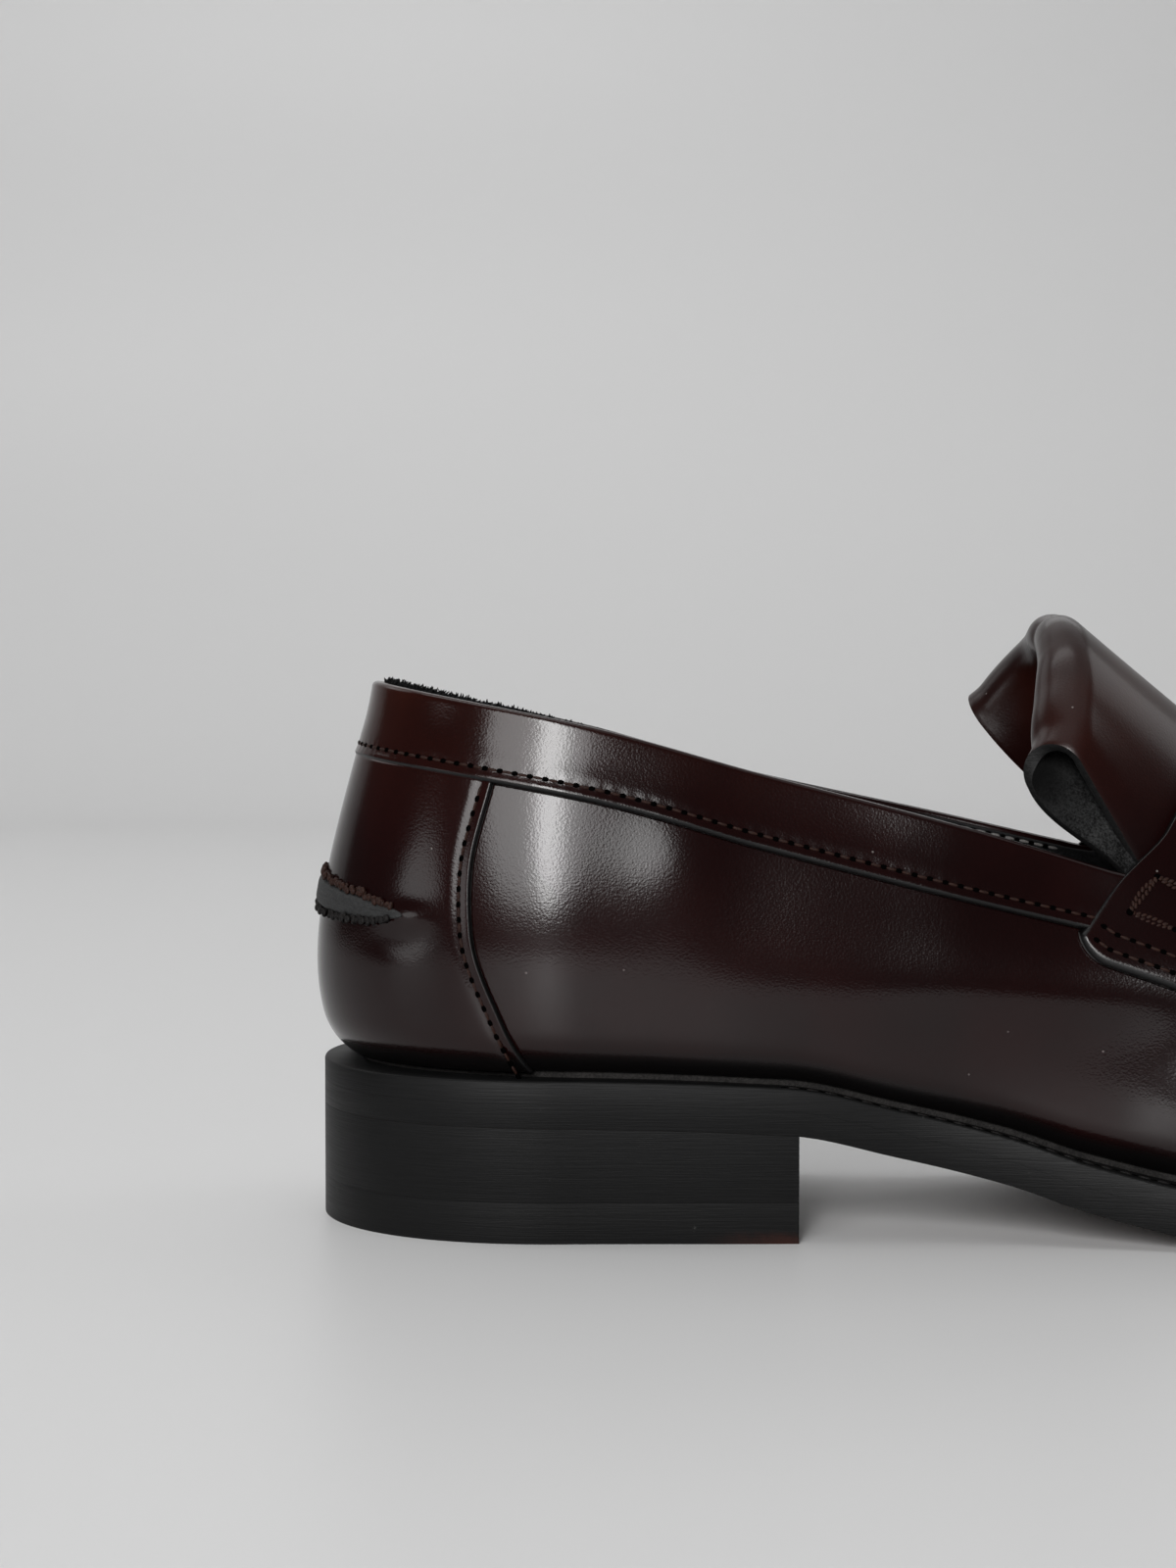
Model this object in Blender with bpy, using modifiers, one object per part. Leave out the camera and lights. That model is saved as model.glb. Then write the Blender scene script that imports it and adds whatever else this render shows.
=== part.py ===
"""Strap loafer, a man's right shoe, lofted round one last.

Stations run along the foot from the back of the heel. +X points to the toe, -Y to the shoe's
outer side and +Z up, with the floor at zero. All sizes are in metres.
"""

import bisect
import math
from collections import namedtuple

import bmesh
import bpy
from mathutils import Vector

# Driving dimensions of the last and of the bottom
LENGTH = 0.296
BALL_WIDTH = 0.100
INSTEP = 0.0667
BACK_HEIGHT = 0.0886
HEEL_LIFT = 0.0185
TOE_SPRING = 0.0114
HEEL_LENGTH = 0.0776

# Thicknesses, and the gap that neighbouring pieces keep
GAP = 0.0003
SOLE = 0.0075
WELT = 0.0033
TOP_LIFT = 0.0065
INSOLE_RISE = 0.0012
UPPER_WALL = 0.0017
COUNTER_WALL = 0.0009
BAND_WALL = 0.0012
STRAP_WALL = 0.0014
TONGUE_WALL = 0.0020

OUTER = -1
INNER = 1

# Station of the middle of the whole shoe, which lies over the origin
MIDDLE = 0.1469

# Where the upper's lower edge starts and ends, and where its opening closes over the instep
UPPER_BACK = 0.0044
UPPER_TIP = 0.291
COLLAR_FRONT = 0.128
THROAT = 0.156
THROAT_POWER = 2.6

# Rounding of the plan outline at heel and toe
HEEL_RADIUS = 0.040
HEEL_POWER = 2.1
TOE_RADIUS = 0.058
TOE_POWER = 2.3

# Half sections of the last. Stations are shares of LENGTH, widths from the axis are shares of
# BALL_WIDTH, and heights above the seat are shares of INSTEP.
Section = namedtuple(
    "Section",
    "at axis feather_out feather_in belly_out belly_in belly_up shoulder shoulder_up top top_up",
)
LAST = (
    Section(0.015, 0.000, 0.302, 0.298, 0.352, 0.348, 0.225, 0.318, 0.570, 0.242, 0.990),
    Section(0.142, 0.000, 0.302, 0.298, 0.352, 0.348, 0.214, 0.320, 0.559, 0.246, 0.912),
    Section(0.257, 0.003, 0.312, 0.280, 0.358, 0.338, 0.216, 0.303, 0.606, 0.218, 0.846),
    Section(0.338, 0.008, 0.310, 0.245, 0.365, 0.320, 0.238, 0.295, 0.816, 0.145, 1.055),
    Section(0.432, 0.016, 0.336, 0.248, 0.400, 0.340, 0.292, 0.195, 1.235, 0.030, 1.275),
    Section(0.527, 0.024, 0.418, 0.335, 0.475, 0.400, 0.268, 0.195, 1.015, 0.000, 1.015),
    Section(0.693, 0.043, 0.510, 0.425, 0.555, 0.475, 0.202, 0.310, 0.637, 0.000, 0.637),
    Section(0.845, 0.058, 0.432, 0.358, 0.472, 0.404, 0.205, 0.262, 0.452, 0.000, 0.452),
    Section(0.983, 0.068, 0.352, 0.292, 0.386, 0.324, 0.150, 0.210, 0.228, 0.000, 0.228),
)

# How far each rail of the last is moved along the foot at the very heel and the very toe
Rails = namedtuple("Rails", "feather belly shoulder top")
HEEL_CURVE = Rails(0.0, -0.0102, -0.0006, 0.0062)
TOE_CURVE = Rails(0.0, 0.0025, -0.0020, -0.0100)
HEEL_REACH = 0.070
TOE_REACH = 0.076

# The bottom: heel lift and toe spring as shares, and how far the sole stands out past the upper
Bottom = namedtuple("Bottom", "at lift spring margin")
BOTTOM = (
    Bottom(0.000, 1.000, 0.000, 0.0044),
    Bottom(0.145, 0.985, 0.000, 0.0030),
    Bottom(0.257, 0.925, 0.000, 0.0020),
    Bottom(0.314, 0.735, 0.000, 0.0018),
    Bottom(0.375, 0.503, 0.000, 0.0034),
    Bottom(0.416, 0.296, 0.000, 0.0052),
    Bottom(0.473, 0.100, 0.000, 0.0060),
    Bottom(0.541, 0.000, 0.000, 0.0062),
    Bottom(0.716, 0.000, 0.000, 0.0060),
    Bottom(0.811, 0.000, 0.105, 0.0056),
    Bottom(0.895, 0.000, 0.400, 0.0052),
    Bottom(1.000, 0.000, 1.000, 0.0050),
)

# The opening: height of its rim on both sides and of the collar band's lower edge
Collar = namedtuple("Collar", "at rim_out rim_in band")
COLLAR = (
    Collar(0.015, 1.000, 1.000, 0.858),
    Collar(0.149, 0.917, 0.917, 0.784),
    Collar(0.243, 0.832, 0.832, 0.698),
    Collar(0.354, 0.736, 0.744, 0.604),
    Collar(0.432, 0.658, 0.682, 0.542),
)
BAND_FRONT_LOW = 0.1208
BAND_FRONT_TOP = 0.1266

# Front edge of the back counter, from the sole (0) to the collar band (1), and its lift off the welt
COUNTER_FOOT = 0.0012
Seam = namedtuple("Seam", "at station")
COUNTER_EDGE = (
    Seam(0.00, 0.0355),
    Seam(0.25, 0.0322),
    Seam(0.55, 0.0279),
    Seam(0.75, 0.0271),
    Seam(1.00, 0.0288),
)

# The pinched seam round the back of the counter
DART_END = 0.0165
DART_HEIGHT = 0.0540
DART_DROP = 0.0028
DART_DEPTH = 0.0011
DART_BAND = 0.0046

# Rear and front edge of the saddle strap, from its end on the side (0) to the ridge (1)
Strap = namedtuple("Strap", "at rear front")
STRAP = (
    Strap(0.00, 0.1218, 0.1610),
    Strap(0.14, 0.1278, 0.1630),
    Strap(0.30, 0.1368, 0.1685),
    Strap(0.65, 0.1455, 0.1765),
    Strap(1.00, 0.1480, 0.1800),
)
STRAP_END_REAR = 0.0448
STRAP_END_FRONT = 0.0311
STRAP_CORNER = 0.0042
STRAP_CORNER_SHARE = 0.11
STRAP_CORNER_FADE = 0.30
STRAP_CROWDING = 0.6

# The tongue: how far its fold reaches behind the strap, from the outer end (-1) to the inner (1)
Fold = namedtuple("Fold", "at reach root tilt radius")
TONGUE = (
    Fold(-1.0, 0.0246, 0.0008, math.radians(56), 0.0054),
    Fold(0.0, 0.0316, 0.0045, math.radians(39.5), 0.0034),
    Fold(1.0, 0.0325, 0.0008, math.radians(54), 0.0054),
)
TONGUE_CLIMB = {OUTER: 0.215, INNER: 0.250}
TONGUE_CHORD = 0.5
TONGUE_SET = 0.0006
TONGUE_ROOT = 0.0044
LEAF_SHARE = 0.34
NOSE_SHARE = 0.66

# Colours of the photograph, and how rough each finish is
OXBLOOD = (0.085, 0.017, 0.020)
BLACK_EDGE = (0.012, 0.011, 0.012)
INSOLE_BLACK = (0.030, 0.025, 0.024)
POLISHED = 0.30
BURNISHED = 0.45
NAPPED = 0.80

# Shares of the faces along a side that go to the round heel and toe, and numbers of faces
HEEL_PART = 0.24
TOE_PART = 0.24
BLOCK_HEEL_PART = 0.69
SIDE_COLUMNS = 46
HEEL_COLUMNS = 16
COUNTER_COLUMNS = 24
DART_COLUMNS = 16
BAND_COLUMNS = 48
TONGUE_COLUMNS = 16
STRAP_COLUMNS = 12
UPPER_ROWS = 10
COUNTER_ROWS = 6
BAND_ROWS = 2
TONGUE_ROWS = 22
STRAP_ROWS = 26
RING_ROWS = 4
SHARP_ANGLE = math.radians(35)
WELD = 1e-6
STEP = 1e-5


def lerp(start, end, share):
    """Value that lies a share of the way from start to end."""
    return start + (end - start) * share


def column(rows, name, at):
    """One table column read at a place, on a smooth curve that never overshoots its rows."""
    places = [row.at for row in rows]
    values = [getattr(row, name) for row in rows]
    if at <= places[0]:
        return values[0]
    if at >= places[-1]:
        return values[-1]
    rises = [
        (values[i + 1] - values[i]) / (places[i + 1] - places[i]) for i in range(len(rows) - 1)
    ]

    def slope(index):
        if index == 0:
            return rises[0]
        if index == len(rises):
            return rises[-1]
        before, after = rises[index - 1], rises[index]
        if before * after <= 0:
            return 0.0
        return 2 * before * after / (before + after)

    left = bisect.bisect_right(places, at) - 1
    width = places[left + 1] - places[left]
    t = (at - places[left]) / width
    ease = t * t * (3 - 2 * t)
    bend = t * (1 - t) * width * (slope(left) * (1 - t) - slope(left + 1) * t)
    return lerp(values[left], values[left + 1], ease) + bend


def seat(at):
    """Height of the sole's top face at a station."""
    share = at / LENGTH
    lift = column(BOTTOM, "lift", share) * HEEL_LIFT
    spring = column(BOTTOM, "spring", share) * TOE_SPRING
    return SOLE + lift + spring


def rounding(at, start, end):
    """Share of the full width that the round heel and toe leave at a station."""
    heel = min(1.0, max(0.0, (at - start) / HEEL_RADIUS))
    toe = min(1.0, max(0.0, (end - at) / TOE_RADIUS))
    heel_width = (1 - (1 - heel) ** HEEL_POWER) ** (1 / HEEL_POWER)
    toe_width = (1 - (1 - toe) ** TOE_POWER) ** (1 / TOE_POWER)
    return heel_width * toe_width


def heel_spread(share, start):
    """Station at a share of the round heel, with stations close together at the back."""
    return start + HEEL_RADIUS * (1 - math.cos(math.pi / 2 * share))


def spread(share, start, end):
    """Station at a share of the way along, with stations close together at the round ends."""
    if share < HEEL_PART:
        return heel_spread(share / HEEL_PART, start)
    if share > 1 - TOE_PART:
        return end - TOE_RADIUS * (1 - math.cos(math.pi / 2 * (1 - share) / TOE_PART))
    middle = (share - HEEL_PART) / (1 - HEEL_PART - TOE_PART)
    return lerp(start + HEEL_RADIUS, end - TOE_RADIUS, middle)


def block_spread(share):
    """Station at a share of the way along the heel block, from its round back to its breast."""
    if share < BLOCK_HEEL_PART:
        return heel_spread(share / BLOCK_HEEL_PART, 0.0)
    return lerp(HEEL_RADIUS, HEEL_LENGTH, (share - BLOCK_HEEL_PART) / (1 - BLOCK_HEEL_PART))


def axis(at):
    """Sideways place of the foot's axis, which swings to the inner side at the toe."""
    return column(LAST, "axis", at / LENGTH) * BALL_WIDTH


def feather(at, side):
    """Distance of the upper's lower edge from the axis, before heel and toe are rounded."""
    name = "feather_out" if side == OUTER else "feather_in"
    return column(LAST, name, at / LENGTH) * BALL_WIDTH


def last_rails(at, side):
    """Control points of a half section of the last: feather, belly, shoulder and top."""
    share = at / LENGTH
    belly = column(LAST, "belly_out" if side == OUTER else "belly_in", share)
    widths = Rails(
        feather(at, side),
        belly * BALL_WIDTH,
        column(LAST, "shoulder", share) * BALL_WIDTH,
        column(LAST, "top", share) * BALL_WIDTH,
    )
    heights = Rails(
        GAP,
        column(LAST, "belly_up", share) * INSTEP,
        column(LAST, "shoulder_up", share) * INSTEP,
        column(LAST, "top_up", share) * INSTEP,
    )
    narrow = rounding(at, UPPER_BACK, UPPER_TIP)
    near_heel = max(0.0, 1 - (at - UPPER_BACK) / HEEL_REACH) ** 2
    near_toe = max(0.0, 1 - (UPPER_TIP - at) / TOE_REACH) ** 2
    points = []
    for width, height, heel_move, toe_move in zip(widths, heights, HEEL_CURVE, TOE_CURVE):
        along = at + heel_move * near_heel + toe_move * near_toe
        points.append(Vector((along, axis(at) + side * width * narrow, seat(at) + height)))
    return points


def bezier(points, share):
    """Point on a cubic curve through four control points."""
    rest = 1 - share
    weights = (rest**3, 3 * share * rest**2, 3 * share**2 * rest, share**3)
    return sum((point * weight for point, weight in zip(points, weights)), Vector())


def last_point(at, share, side):
    """Point of the last at a station, a share of the way up from feather to top."""
    return bezier(last_rails(at, side), share)


def last_normal(at, share, side):
    """Outward direction of the last."""
    at = min(max(at, UPPER_BACK), UPPER_TIP - STEP)
    share = min(max(share, STEP), 1 - STEP)
    here = last_point(at, share, side)
    along = last_point(at + STEP, share, side) - here
    up = last_point(at, share + STEP, side) - here
    return along.cross(up).normalized() * -side


def share_at_height(at, height, side):
    """How far up its section the last reaches a height."""
    points = last_rails(at, side)
    low, high = 0.0, 1.0
    for _ in range(30):
        middle = (low + high) / 2
        if bezier(points, middle).z < height:
            low = middle
        else:
            high = middle
    return low


def rim_share(at, side):
    """How far up its section the upper goes: to the collar, along the throat, or to the ridge."""
    name = "rim_out" if side == OUTER else "rim_in"
    if at >= THROAT:
        return 1.0
    front = min(at, COLLAR_FRONT)
    collar = share_at_height(front, column(COLLAR, name, front / LENGTH) * BACK_HEIGHT, side)
    throat = max(0.0, at - COLLAR_FRONT) / (THROAT - COLLAR_FRONT)
    return lerp(collar, 1.0, throat**THROAT_POWER)


def band_share(at, side):
    """How far up its section the collar band begins."""
    return share_at_height(at, column(COLLAR, "band", at / LENGTH) * BACK_HEIGHT, side)


def lifted(at, share, side, lift):
    """Point at a distance outside the last."""
    return last_point(at, share, side) + last_normal(at, share, side) * lift


def around(share, front):
    """Station and side on a way from the inner side round the heel to the outer side."""
    side = INNER if share < 0.5 else OUTER
    turn = abs(2 * share - 1)
    quarter = HEEL_RADIUS * math.pi / 2
    straight = max(0.0, front - UPPER_BACK - HEEL_RADIUS)
    full = math.acos(max(0.0, 1 - (front - UPPER_BACK) / HEEL_RADIUS))
    walked = turn * (full * HEEL_RADIUS + straight)
    if walked <= quarter:
        return UPPER_BACK + HEEL_RADIUS * (1 - math.cos(walked / HEEL_RADIUS)), side
    return UPPER_BACK + HEEL_RADIUS + walked - quarter, side


def upper_place(u, v):
    """Upper: along the outer side to the toe and back along the inner side, and up to the rim."""
    side = OUTER if u <= 0.5 else INNER
    at = spread(1 - abs(2 * u - 1), UPPER_BACK, UPPER_TIP)
    return last_point(at, v * rim_share(at, side), side)


def counter_place(u, v):
    """Back counter: from the sole up to the collar band, between its two curved front edges."""
    front = column(COUNTER_EDGE, "station", v)
    at, side = around(u, front)
    top = share_at_height(at, column(COLLAR, "band", at / LENGTH) * BACK_HEIGHT - 2 * GAP, side)
    foot = share_at_height(at, seat(at) + COUNTER_FOOT, side)
    return lifted(at, lerp(foot, top, v), side, GAP)


def band_place(u, v):
    """Collar band: from its lower edge to the rim, ending at the strap on both sides."""
    at, side = around(u, lerp(BAND_FRONT_LOW, BAND_FRONT_TOP, v))
    return lifted(at, lerp(band_share(at, side), rim_share(at, side), v), side, GAP)


def strap_share(at, slide, climb, side):
    """How far up its section a point of the strap lies, given its climb from end to ridge."""
    edge = max(0.0, 1 - min(slide, 1 - slide) / STRAP_CORNER_SHARE)
    fade = max(0.0, 1 - climb / STRAP_CORNER_FADE) ** 2
    corner = STRAP_CORNER * (1 - math.sqrt(1 - edge**2)) * fade
    end = lerp(STRAP_END_REAR, STRAP_END_FRONT, slide) + corner
    return lerp(share_at_height(at, end, side), 1.0, climb)


def strap_place(u, v):
    """Saddle strap: from rear to front edge, and from the outer end over the ridge to the inner."""
    side = OUTER if v <= 0.5 else INNER
    climb = 1 - abs(2 * v - 1)
    slide = lerp(u, (1 - math.cos(math.pi * u)) / 2, STRAP_CROWDING)
    at = lerp(column(STRAP, "rear", climb), column(STRAP, "front", climb), slide)
    return lifted(at, strap_share(at, slide, climb, side), side, GAP)


def tongue_base(reach):
    """Line along the strap's rear edge, just under the strap, where the tongue comes out."""
    side = OUTER if reach <= 0 else INNER
    climb = lerp(1.0, TONGUE_CLIMB[side], abs(reach))
    at = column(STRAP, "rear", climb)
    return lifted(at, strap_share(at, 0.0, climb, side), side, -TONGUE_SET)


def tongue_profile(share, fold):
    """Outer face of the folded strip, as the way along the tongue and the depth under its top leaf."""
    bend = fold.reach - fold.radius
    if share < LEAF_SHARE:
        return lerp(-fold.root, bend, share / LEAF_SHARE), 0.0
    if share < NOSE_SHARE:
        angle = math.pi * (share - LEAF_SHARE) / (NOSE_SHARE - LEAF_SHARE)
        return bend + fold.radius * math.sin(angle), fold.radius * (1 - math.cos(angle))
    back = (share - NOSE_SHARE) / (1 - NOSE_SHARE)
    ease = back * back * (3 - 2 * back)
    return lerp(bend, -fold.root, back), lerp(2 * fold.radius, TONGUE_ROOT, ease)


def tongue_place(u, v):
    """Tongue: across the instep, and from the top leaf's root round the fold to the lower root."""
    place = 2 * u - 1
    fold = Fold(place, *(column(TONGUE, name, place) for name in Fold._fields[1:]))
    way = Vector((-math.cos(fold.tilt), 0.0, math.sin(fold.tilt)))
    ahead = tongue_base(min(1.0, place + TONGUE_CHORD))
    across = ahead - tongue_base(max(-1.0, place - TONGUE_CHORD))
    outward = across.cross(way).normalized()
    along, depth = tongue_profile(v, fold)
    return tongue_base(place) + way * along - outward * depth


def dart_place(u, v):
    """Pinched seam: a ridge on the counter that runs out to a point at both ends."""
    at, side = around(u, DART_END)
    turn = abs(2 * u - 1)
    taper = math.sqrt(max(0.0, 1 - turn**2))
    corner = round(v * RING_ROWS) % RING_ROWS
    up = DART_BAND / 2 * taper * (1 if corner in (1, 2) else -1)
    out = DART_DEPTH * taper * (1 if corner in (2, 3) else 0)
    height = DART_HEIGHT - DART_DROP * turn + up
    share = share_at_height(at, height, side)
    return lifted(at, share, side, 3 * GAP + COUNTER_WALL + out)


def sole_edge(at, side):
    """Sideways place of the sole's outline."""
    width = feather(at, side) + column(BOTTOM, "margin", at / LENGTH)
    return axis(at) + side * width * rounding(at, 0.0, LENGTH)


def insole_edge(at, side, inset):
    """Sideways place of an outline that lies inside the upper's lower edge."""
    width = feather(at, side) - inset
    return axis(at) + side * width * rounding(at, UPPER_BACK + inset, UPPER_TIP - inset)


def welt_place(u, v):
    """Welt: a strip along the sole's outline, with its inner edge under the upper's wall."""
    side = OUTER if u <= 0.5 else INNER
    share = 1 - abs(2 * u - 1)
    inset = UPPER_WALL + GAP
    corner = round(v * RING_ROWS) % RING_ROWS
    if corner in (0, 3):
        at = spread(share, 0.0, LENGTH)
        edge = sole_edge(at, side)
    else:
        at = spread(share, UPPER_BACK + inset, UPPER_TIP - inset)
        edge = insole_edge(at, side, inset)
    height = seat(at) - (WELT if corner in (0, 1) else 0.0)
    return Vector((at, edge, height))


def outsole_place(x, y, z):
    """Outsole: full length, lofted under the welt."""
    at = spread(x, 0.0, LENGTH)
    height = seat(at) - (SOLE if z < 0.5 else WELT + GAP)
    return Vector((at, sole_edge(at, OUTER if y < 0.5 else INNER), height))


def insole_place(x, y, z):
    """Insole: inside the welt and the upper, a little higher than the upper's lower edge."""
    inset = UPPER_WALL + 2 * GAP
    at = spread(x, UPPER_BACK + inset, UPPER_TIP - inset)
    height = seat(at) + (-WELT if z < 0.5 else INSOLE_RISE)
    return Vector((at, insole_edge(at, OUTER if y < 0.5 else INNER, inset), height))


def heel_stack_place(x, y, z):
    """Heel block: the outsole's outline as far as the breast."""
    at = block_spread(x)
    height = TOP_LIFT + GAP if z < 0.5 else seat(at) - SOLE - GAP
    return Vector((at, sole_edge(at, OUTER if y < 0.5 else INNER), height))


def top_lift_place(x, y, z):
    """Top lift: flat on the floor under the heel block."""
    at = block_spread(x)
    return Vector((at, sole_edge(at, OUTER if y < 0.5 else INNER), 0.0 if z < 0.5 else TOP_LIFT))


def leather(name, colour, roughness):
    """Plain finish with the colour of the real piece."""
    material = bpy.data.materials.new(name)
    material.use_nodes = True
    shader = material.node_tree.nodes["Principled BSDF"]
    shader.inputs["Base Color"].default_value = (*colour, 1.0)
    shader.inputs["Roughness"].default_value = roughness
    shader.inputs["Metallic"].default_value = 0.0
    return material


def add_object(name, mesh_data, finish, home):
    """Weld a moulded bmesh, turn its faces out where it is closed, and put it in the collection."""
    bmesh.ops.remove_doubles(mesh_data, verts=mesh_data.verts, dist=WELD)
    bmesh.ops.dissolve_degenerate(mesh_data, edges=mesh_data.edges, dist=WELD)
    if all(edge.is_manifold for edge in mesh_data.edges):
        bmesh.ops.recalc_face_normals(mesh_data, faces=mesh_data.faces)
    bmesh.ops.translate(mesh_data, verts=mesh_data.verts, vec=(-MIDDLE, 0.0, 0.0))
    mesh = bpy.data.meshes.new(name)
    mesh_data.to_mesh(mesh)
    mesh_data.free()
    mesh.materials.append(finish)
    mesh.shade_smooth()
    mesh.set_sharp_from_angle(angle=SHARP_ANGLE)
    part = bpy.data.objects.new(name, mesh)
    home.objects.link(part)
    return part


def sheet(name, columns, rows, place, finish, home):
    """Surface made from a flat grid whose points move to their places."""
    mesh_data = bmesh.new()
    bmesh.ops.create_grid(mesh_data, x_segments=columns, y_segments=rows, size=0.5)
    for vert in mesh_data.verts:
        vert.co = place(vert.co.x + 0.5, vert.co.y + 0.5)
    return add_object(name, mesh_data, finish, home)


def slab(name, columns, place, finish, home):
    """Plate made from a box that is cut along its length and then moved to its places."""
    mesh_data = bmesh.new()
    bmesh.ops.create_cube(mesh_data, size=1.0)
    lengthwise = [
        edge for edge in mesh_data.edges if abs(edge.verts[0].co.x - edge.verts[1].co.x) > 0.5
    ]
    bmesh.ops.subdivide_edges(mesh_data, edges=lengthwise, cuts=columns - 1, use_grid_fill=True)
    for vert in mesh_data.verts:
        vert.co = place(vert.co.x + 0.5, vert.co.y + 0.5, vert.co.z + 0.5)
    return add_object(name, mesh_data, finish, home)


def thicken(part, wall, outward):
    """Give an open surface its real thickness."""
    solidify = part.modifiers.new("wall", "SOLIDIFY")
    solidify.thickness = wall
    solidify.offset = 1.0 if outward else -1.0


for old in list(bpy.data.objects):
    bpy.data.objects.remove(old, do_unlink=True)

shoe = bpy.data.collections.new("strap_loafer")
bpy.context.scene.collection.children.link(shoe)

oxblood = leather("oxblood_leather", OXBLOOD, POLISHED)
black = leather("black_edge_leather", BLACK_EDGE, BURNISHED)
board = leather("insole_leather", INSOLE_BLACK, NAPPED)

slab("top_lift", HEEL_COLUMNS, top_lift_place, black, shoe)
slab("heel_stack", HEEL_COLUMNS, heel_stack_place, black, shoe)
slab("outsole", SIDE_COLUMNS, outsole_place, black, shoe)
sheet("welt", 2 * SIDE_COLUMNS, RING_ROWS, welt_place, black, shoe)
slab("insole", SIDE_COLUMNS, insole_place, board, shoe)

upper = sheet("upper", 2 * SIDE_COLUMNS, UPPER_ROWS, upper_place, oxblood, shoe)
thicken(upper, UPPER_WALL, outward=False)

counter = sheet("back_counter", COUNTER_COLUMNS, COUNTER_ROWS, counter_place, oxblood, shoe)
thicken(counter, COUNTER_WALL, outward=True)

sheet("heel_dart", DART_COLUMNS, RING_ROWS, dart_place, black, shoe)

band = sheet("collar_band", BAND_COLUMNS, BAND_ROWS, band_place, oxblood, shoe)
thicken(band, BAND_WALL, outward=True)

tongue = sheet("tongue", TONGUE_COLUMNS, TONGUE_ROWS, tongue_place, oxblood, shoe)
thicken(tongue, TONGUE_WALL, outward=False)

strap = sheet("saddle_strap", STRAP_COLUMNS, STRAP_ROWS, strap_place, oxblood, shoe)
thicken(strap, STRAP_WALL, outward=True)
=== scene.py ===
"""Looks of the strap loafer: polished oxblood leather over a black burnished bottom.

Stations run along the foot from the back of the heel, as in the part's source, and the row frame's
origin lies MIDDLE in front of the first station. All sizes are in metres.
"""

import math
from collections import namedtuple

import bmesh
import bpy
import numpy as np
from mathutils import Matrix, Vector


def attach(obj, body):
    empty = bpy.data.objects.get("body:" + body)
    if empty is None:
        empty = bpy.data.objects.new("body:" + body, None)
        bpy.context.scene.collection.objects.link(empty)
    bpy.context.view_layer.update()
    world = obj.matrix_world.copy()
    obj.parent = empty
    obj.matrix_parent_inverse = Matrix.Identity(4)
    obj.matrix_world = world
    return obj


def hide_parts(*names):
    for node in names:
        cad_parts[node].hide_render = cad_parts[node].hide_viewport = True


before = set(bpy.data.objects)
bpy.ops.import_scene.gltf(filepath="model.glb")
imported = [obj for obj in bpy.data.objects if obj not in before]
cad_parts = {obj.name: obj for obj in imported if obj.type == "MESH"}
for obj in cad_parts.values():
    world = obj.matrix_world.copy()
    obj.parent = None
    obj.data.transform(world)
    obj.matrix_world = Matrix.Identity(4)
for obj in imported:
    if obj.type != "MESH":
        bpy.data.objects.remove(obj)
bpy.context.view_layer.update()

# Upper: quarters and vamp, one skin of calf leather drawn wet over the last, dried there and polished.
# Its lower edge is turned under and sewn to the welt; its rim is covered by collar band, strap and lining.
LENGTH = 0.296
BALL_WIDTH = 0.100
INSTEP = 0.0667
BACK_HEIGHT = 0.0886
HEEL_LIFT = 0.0185
TOE_SPRING = 0.0114
MIDDLE = 0.1469
GAP = 0.0003
SOLE = 0.0075
UPPER_SKIN = 0.0004
OUTER = -1
INNER = 1
UPPER_BACK = 0.0044
UPPER_TIP = 0.291
COLLAR_FRONT = 0.128
THROAT = 0.156
THROAT_POWER = 2.6
HEEL_RADIUS = 0.040
HEEL_POWER = 2.1
TOE_RADIUS = 0.058
TOE_POWER = 2.3
HEEL_REACH = 0.070
TOE_REACH = 0.076
HEEL_PART = 0.24
TOE_PART = 0.24
UPPER_COLUMNS = 420
UPPER_ROWS = 60
UPPER_FOOT_CROWDING = 1.25
UNDERCUT = 0.0021
UNDERCUT_TALL = 0.0078
WELD = 1e-5
STEP = 1e-5

Section = namedtuple(
    "Section",
    "at axis feather_out feather_in belly_out belly_in belly_up shoulder shoulder_up top top_up",
)
LAST = (
    Section(0.015, 0.000, 0.302, 0.298, 0.352, 0.348, 0.225, 0.318, 0.570, 0.242, 0.990),
    Section(0.142, 0.000, 0.302, 0.298, 0.352, 0.348, 0.214, 0.320, 0.559, 0.246, 0.912),
    Section(0.257, 0.003, 0.312, 0.280, 0.358, 0.338, 0.216, 0.303, 0.606, 0.218, 0.846),
    Section(0.338, 0.008, 0.310, 0.245, 0.365, 0.320, 0.238, 0.295, 0.816, 0.145, 1.055),
    Section(0.432, 0.016, 0.336, 0.248, 0.400, 0.340, 0.292, 0.195, 1.235, 0.030, 1.275),
    Section(0.527, 0.024, 0.418, 0.335, 0.475, 0.400, 0.268, 0.195, 1.015, 0.000, 1.015),
    Section(0.693, 0.043, 0.510, 0.425, 0.555, 0.475, 0.202, 0.310, 0.637, 0.000, 0.637),
    Section(0.845, 0.058, 0.432, 0.358, 0.472, 0.404, 0.205, 0.262, 0.452, 0.000, 0.452),
    Section(0.983, 0.068, 0.352, 0.292, 0.386, 0.324, 0.150, 0.210, 0.228, 0.000, 0.228),
)
HEEL_CURVE = (0.0, -0.0102, -0.0006, 0.0062)
TOE_CURVE = (0.0, 0.0025, -0.0020, -0.0100)

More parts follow.
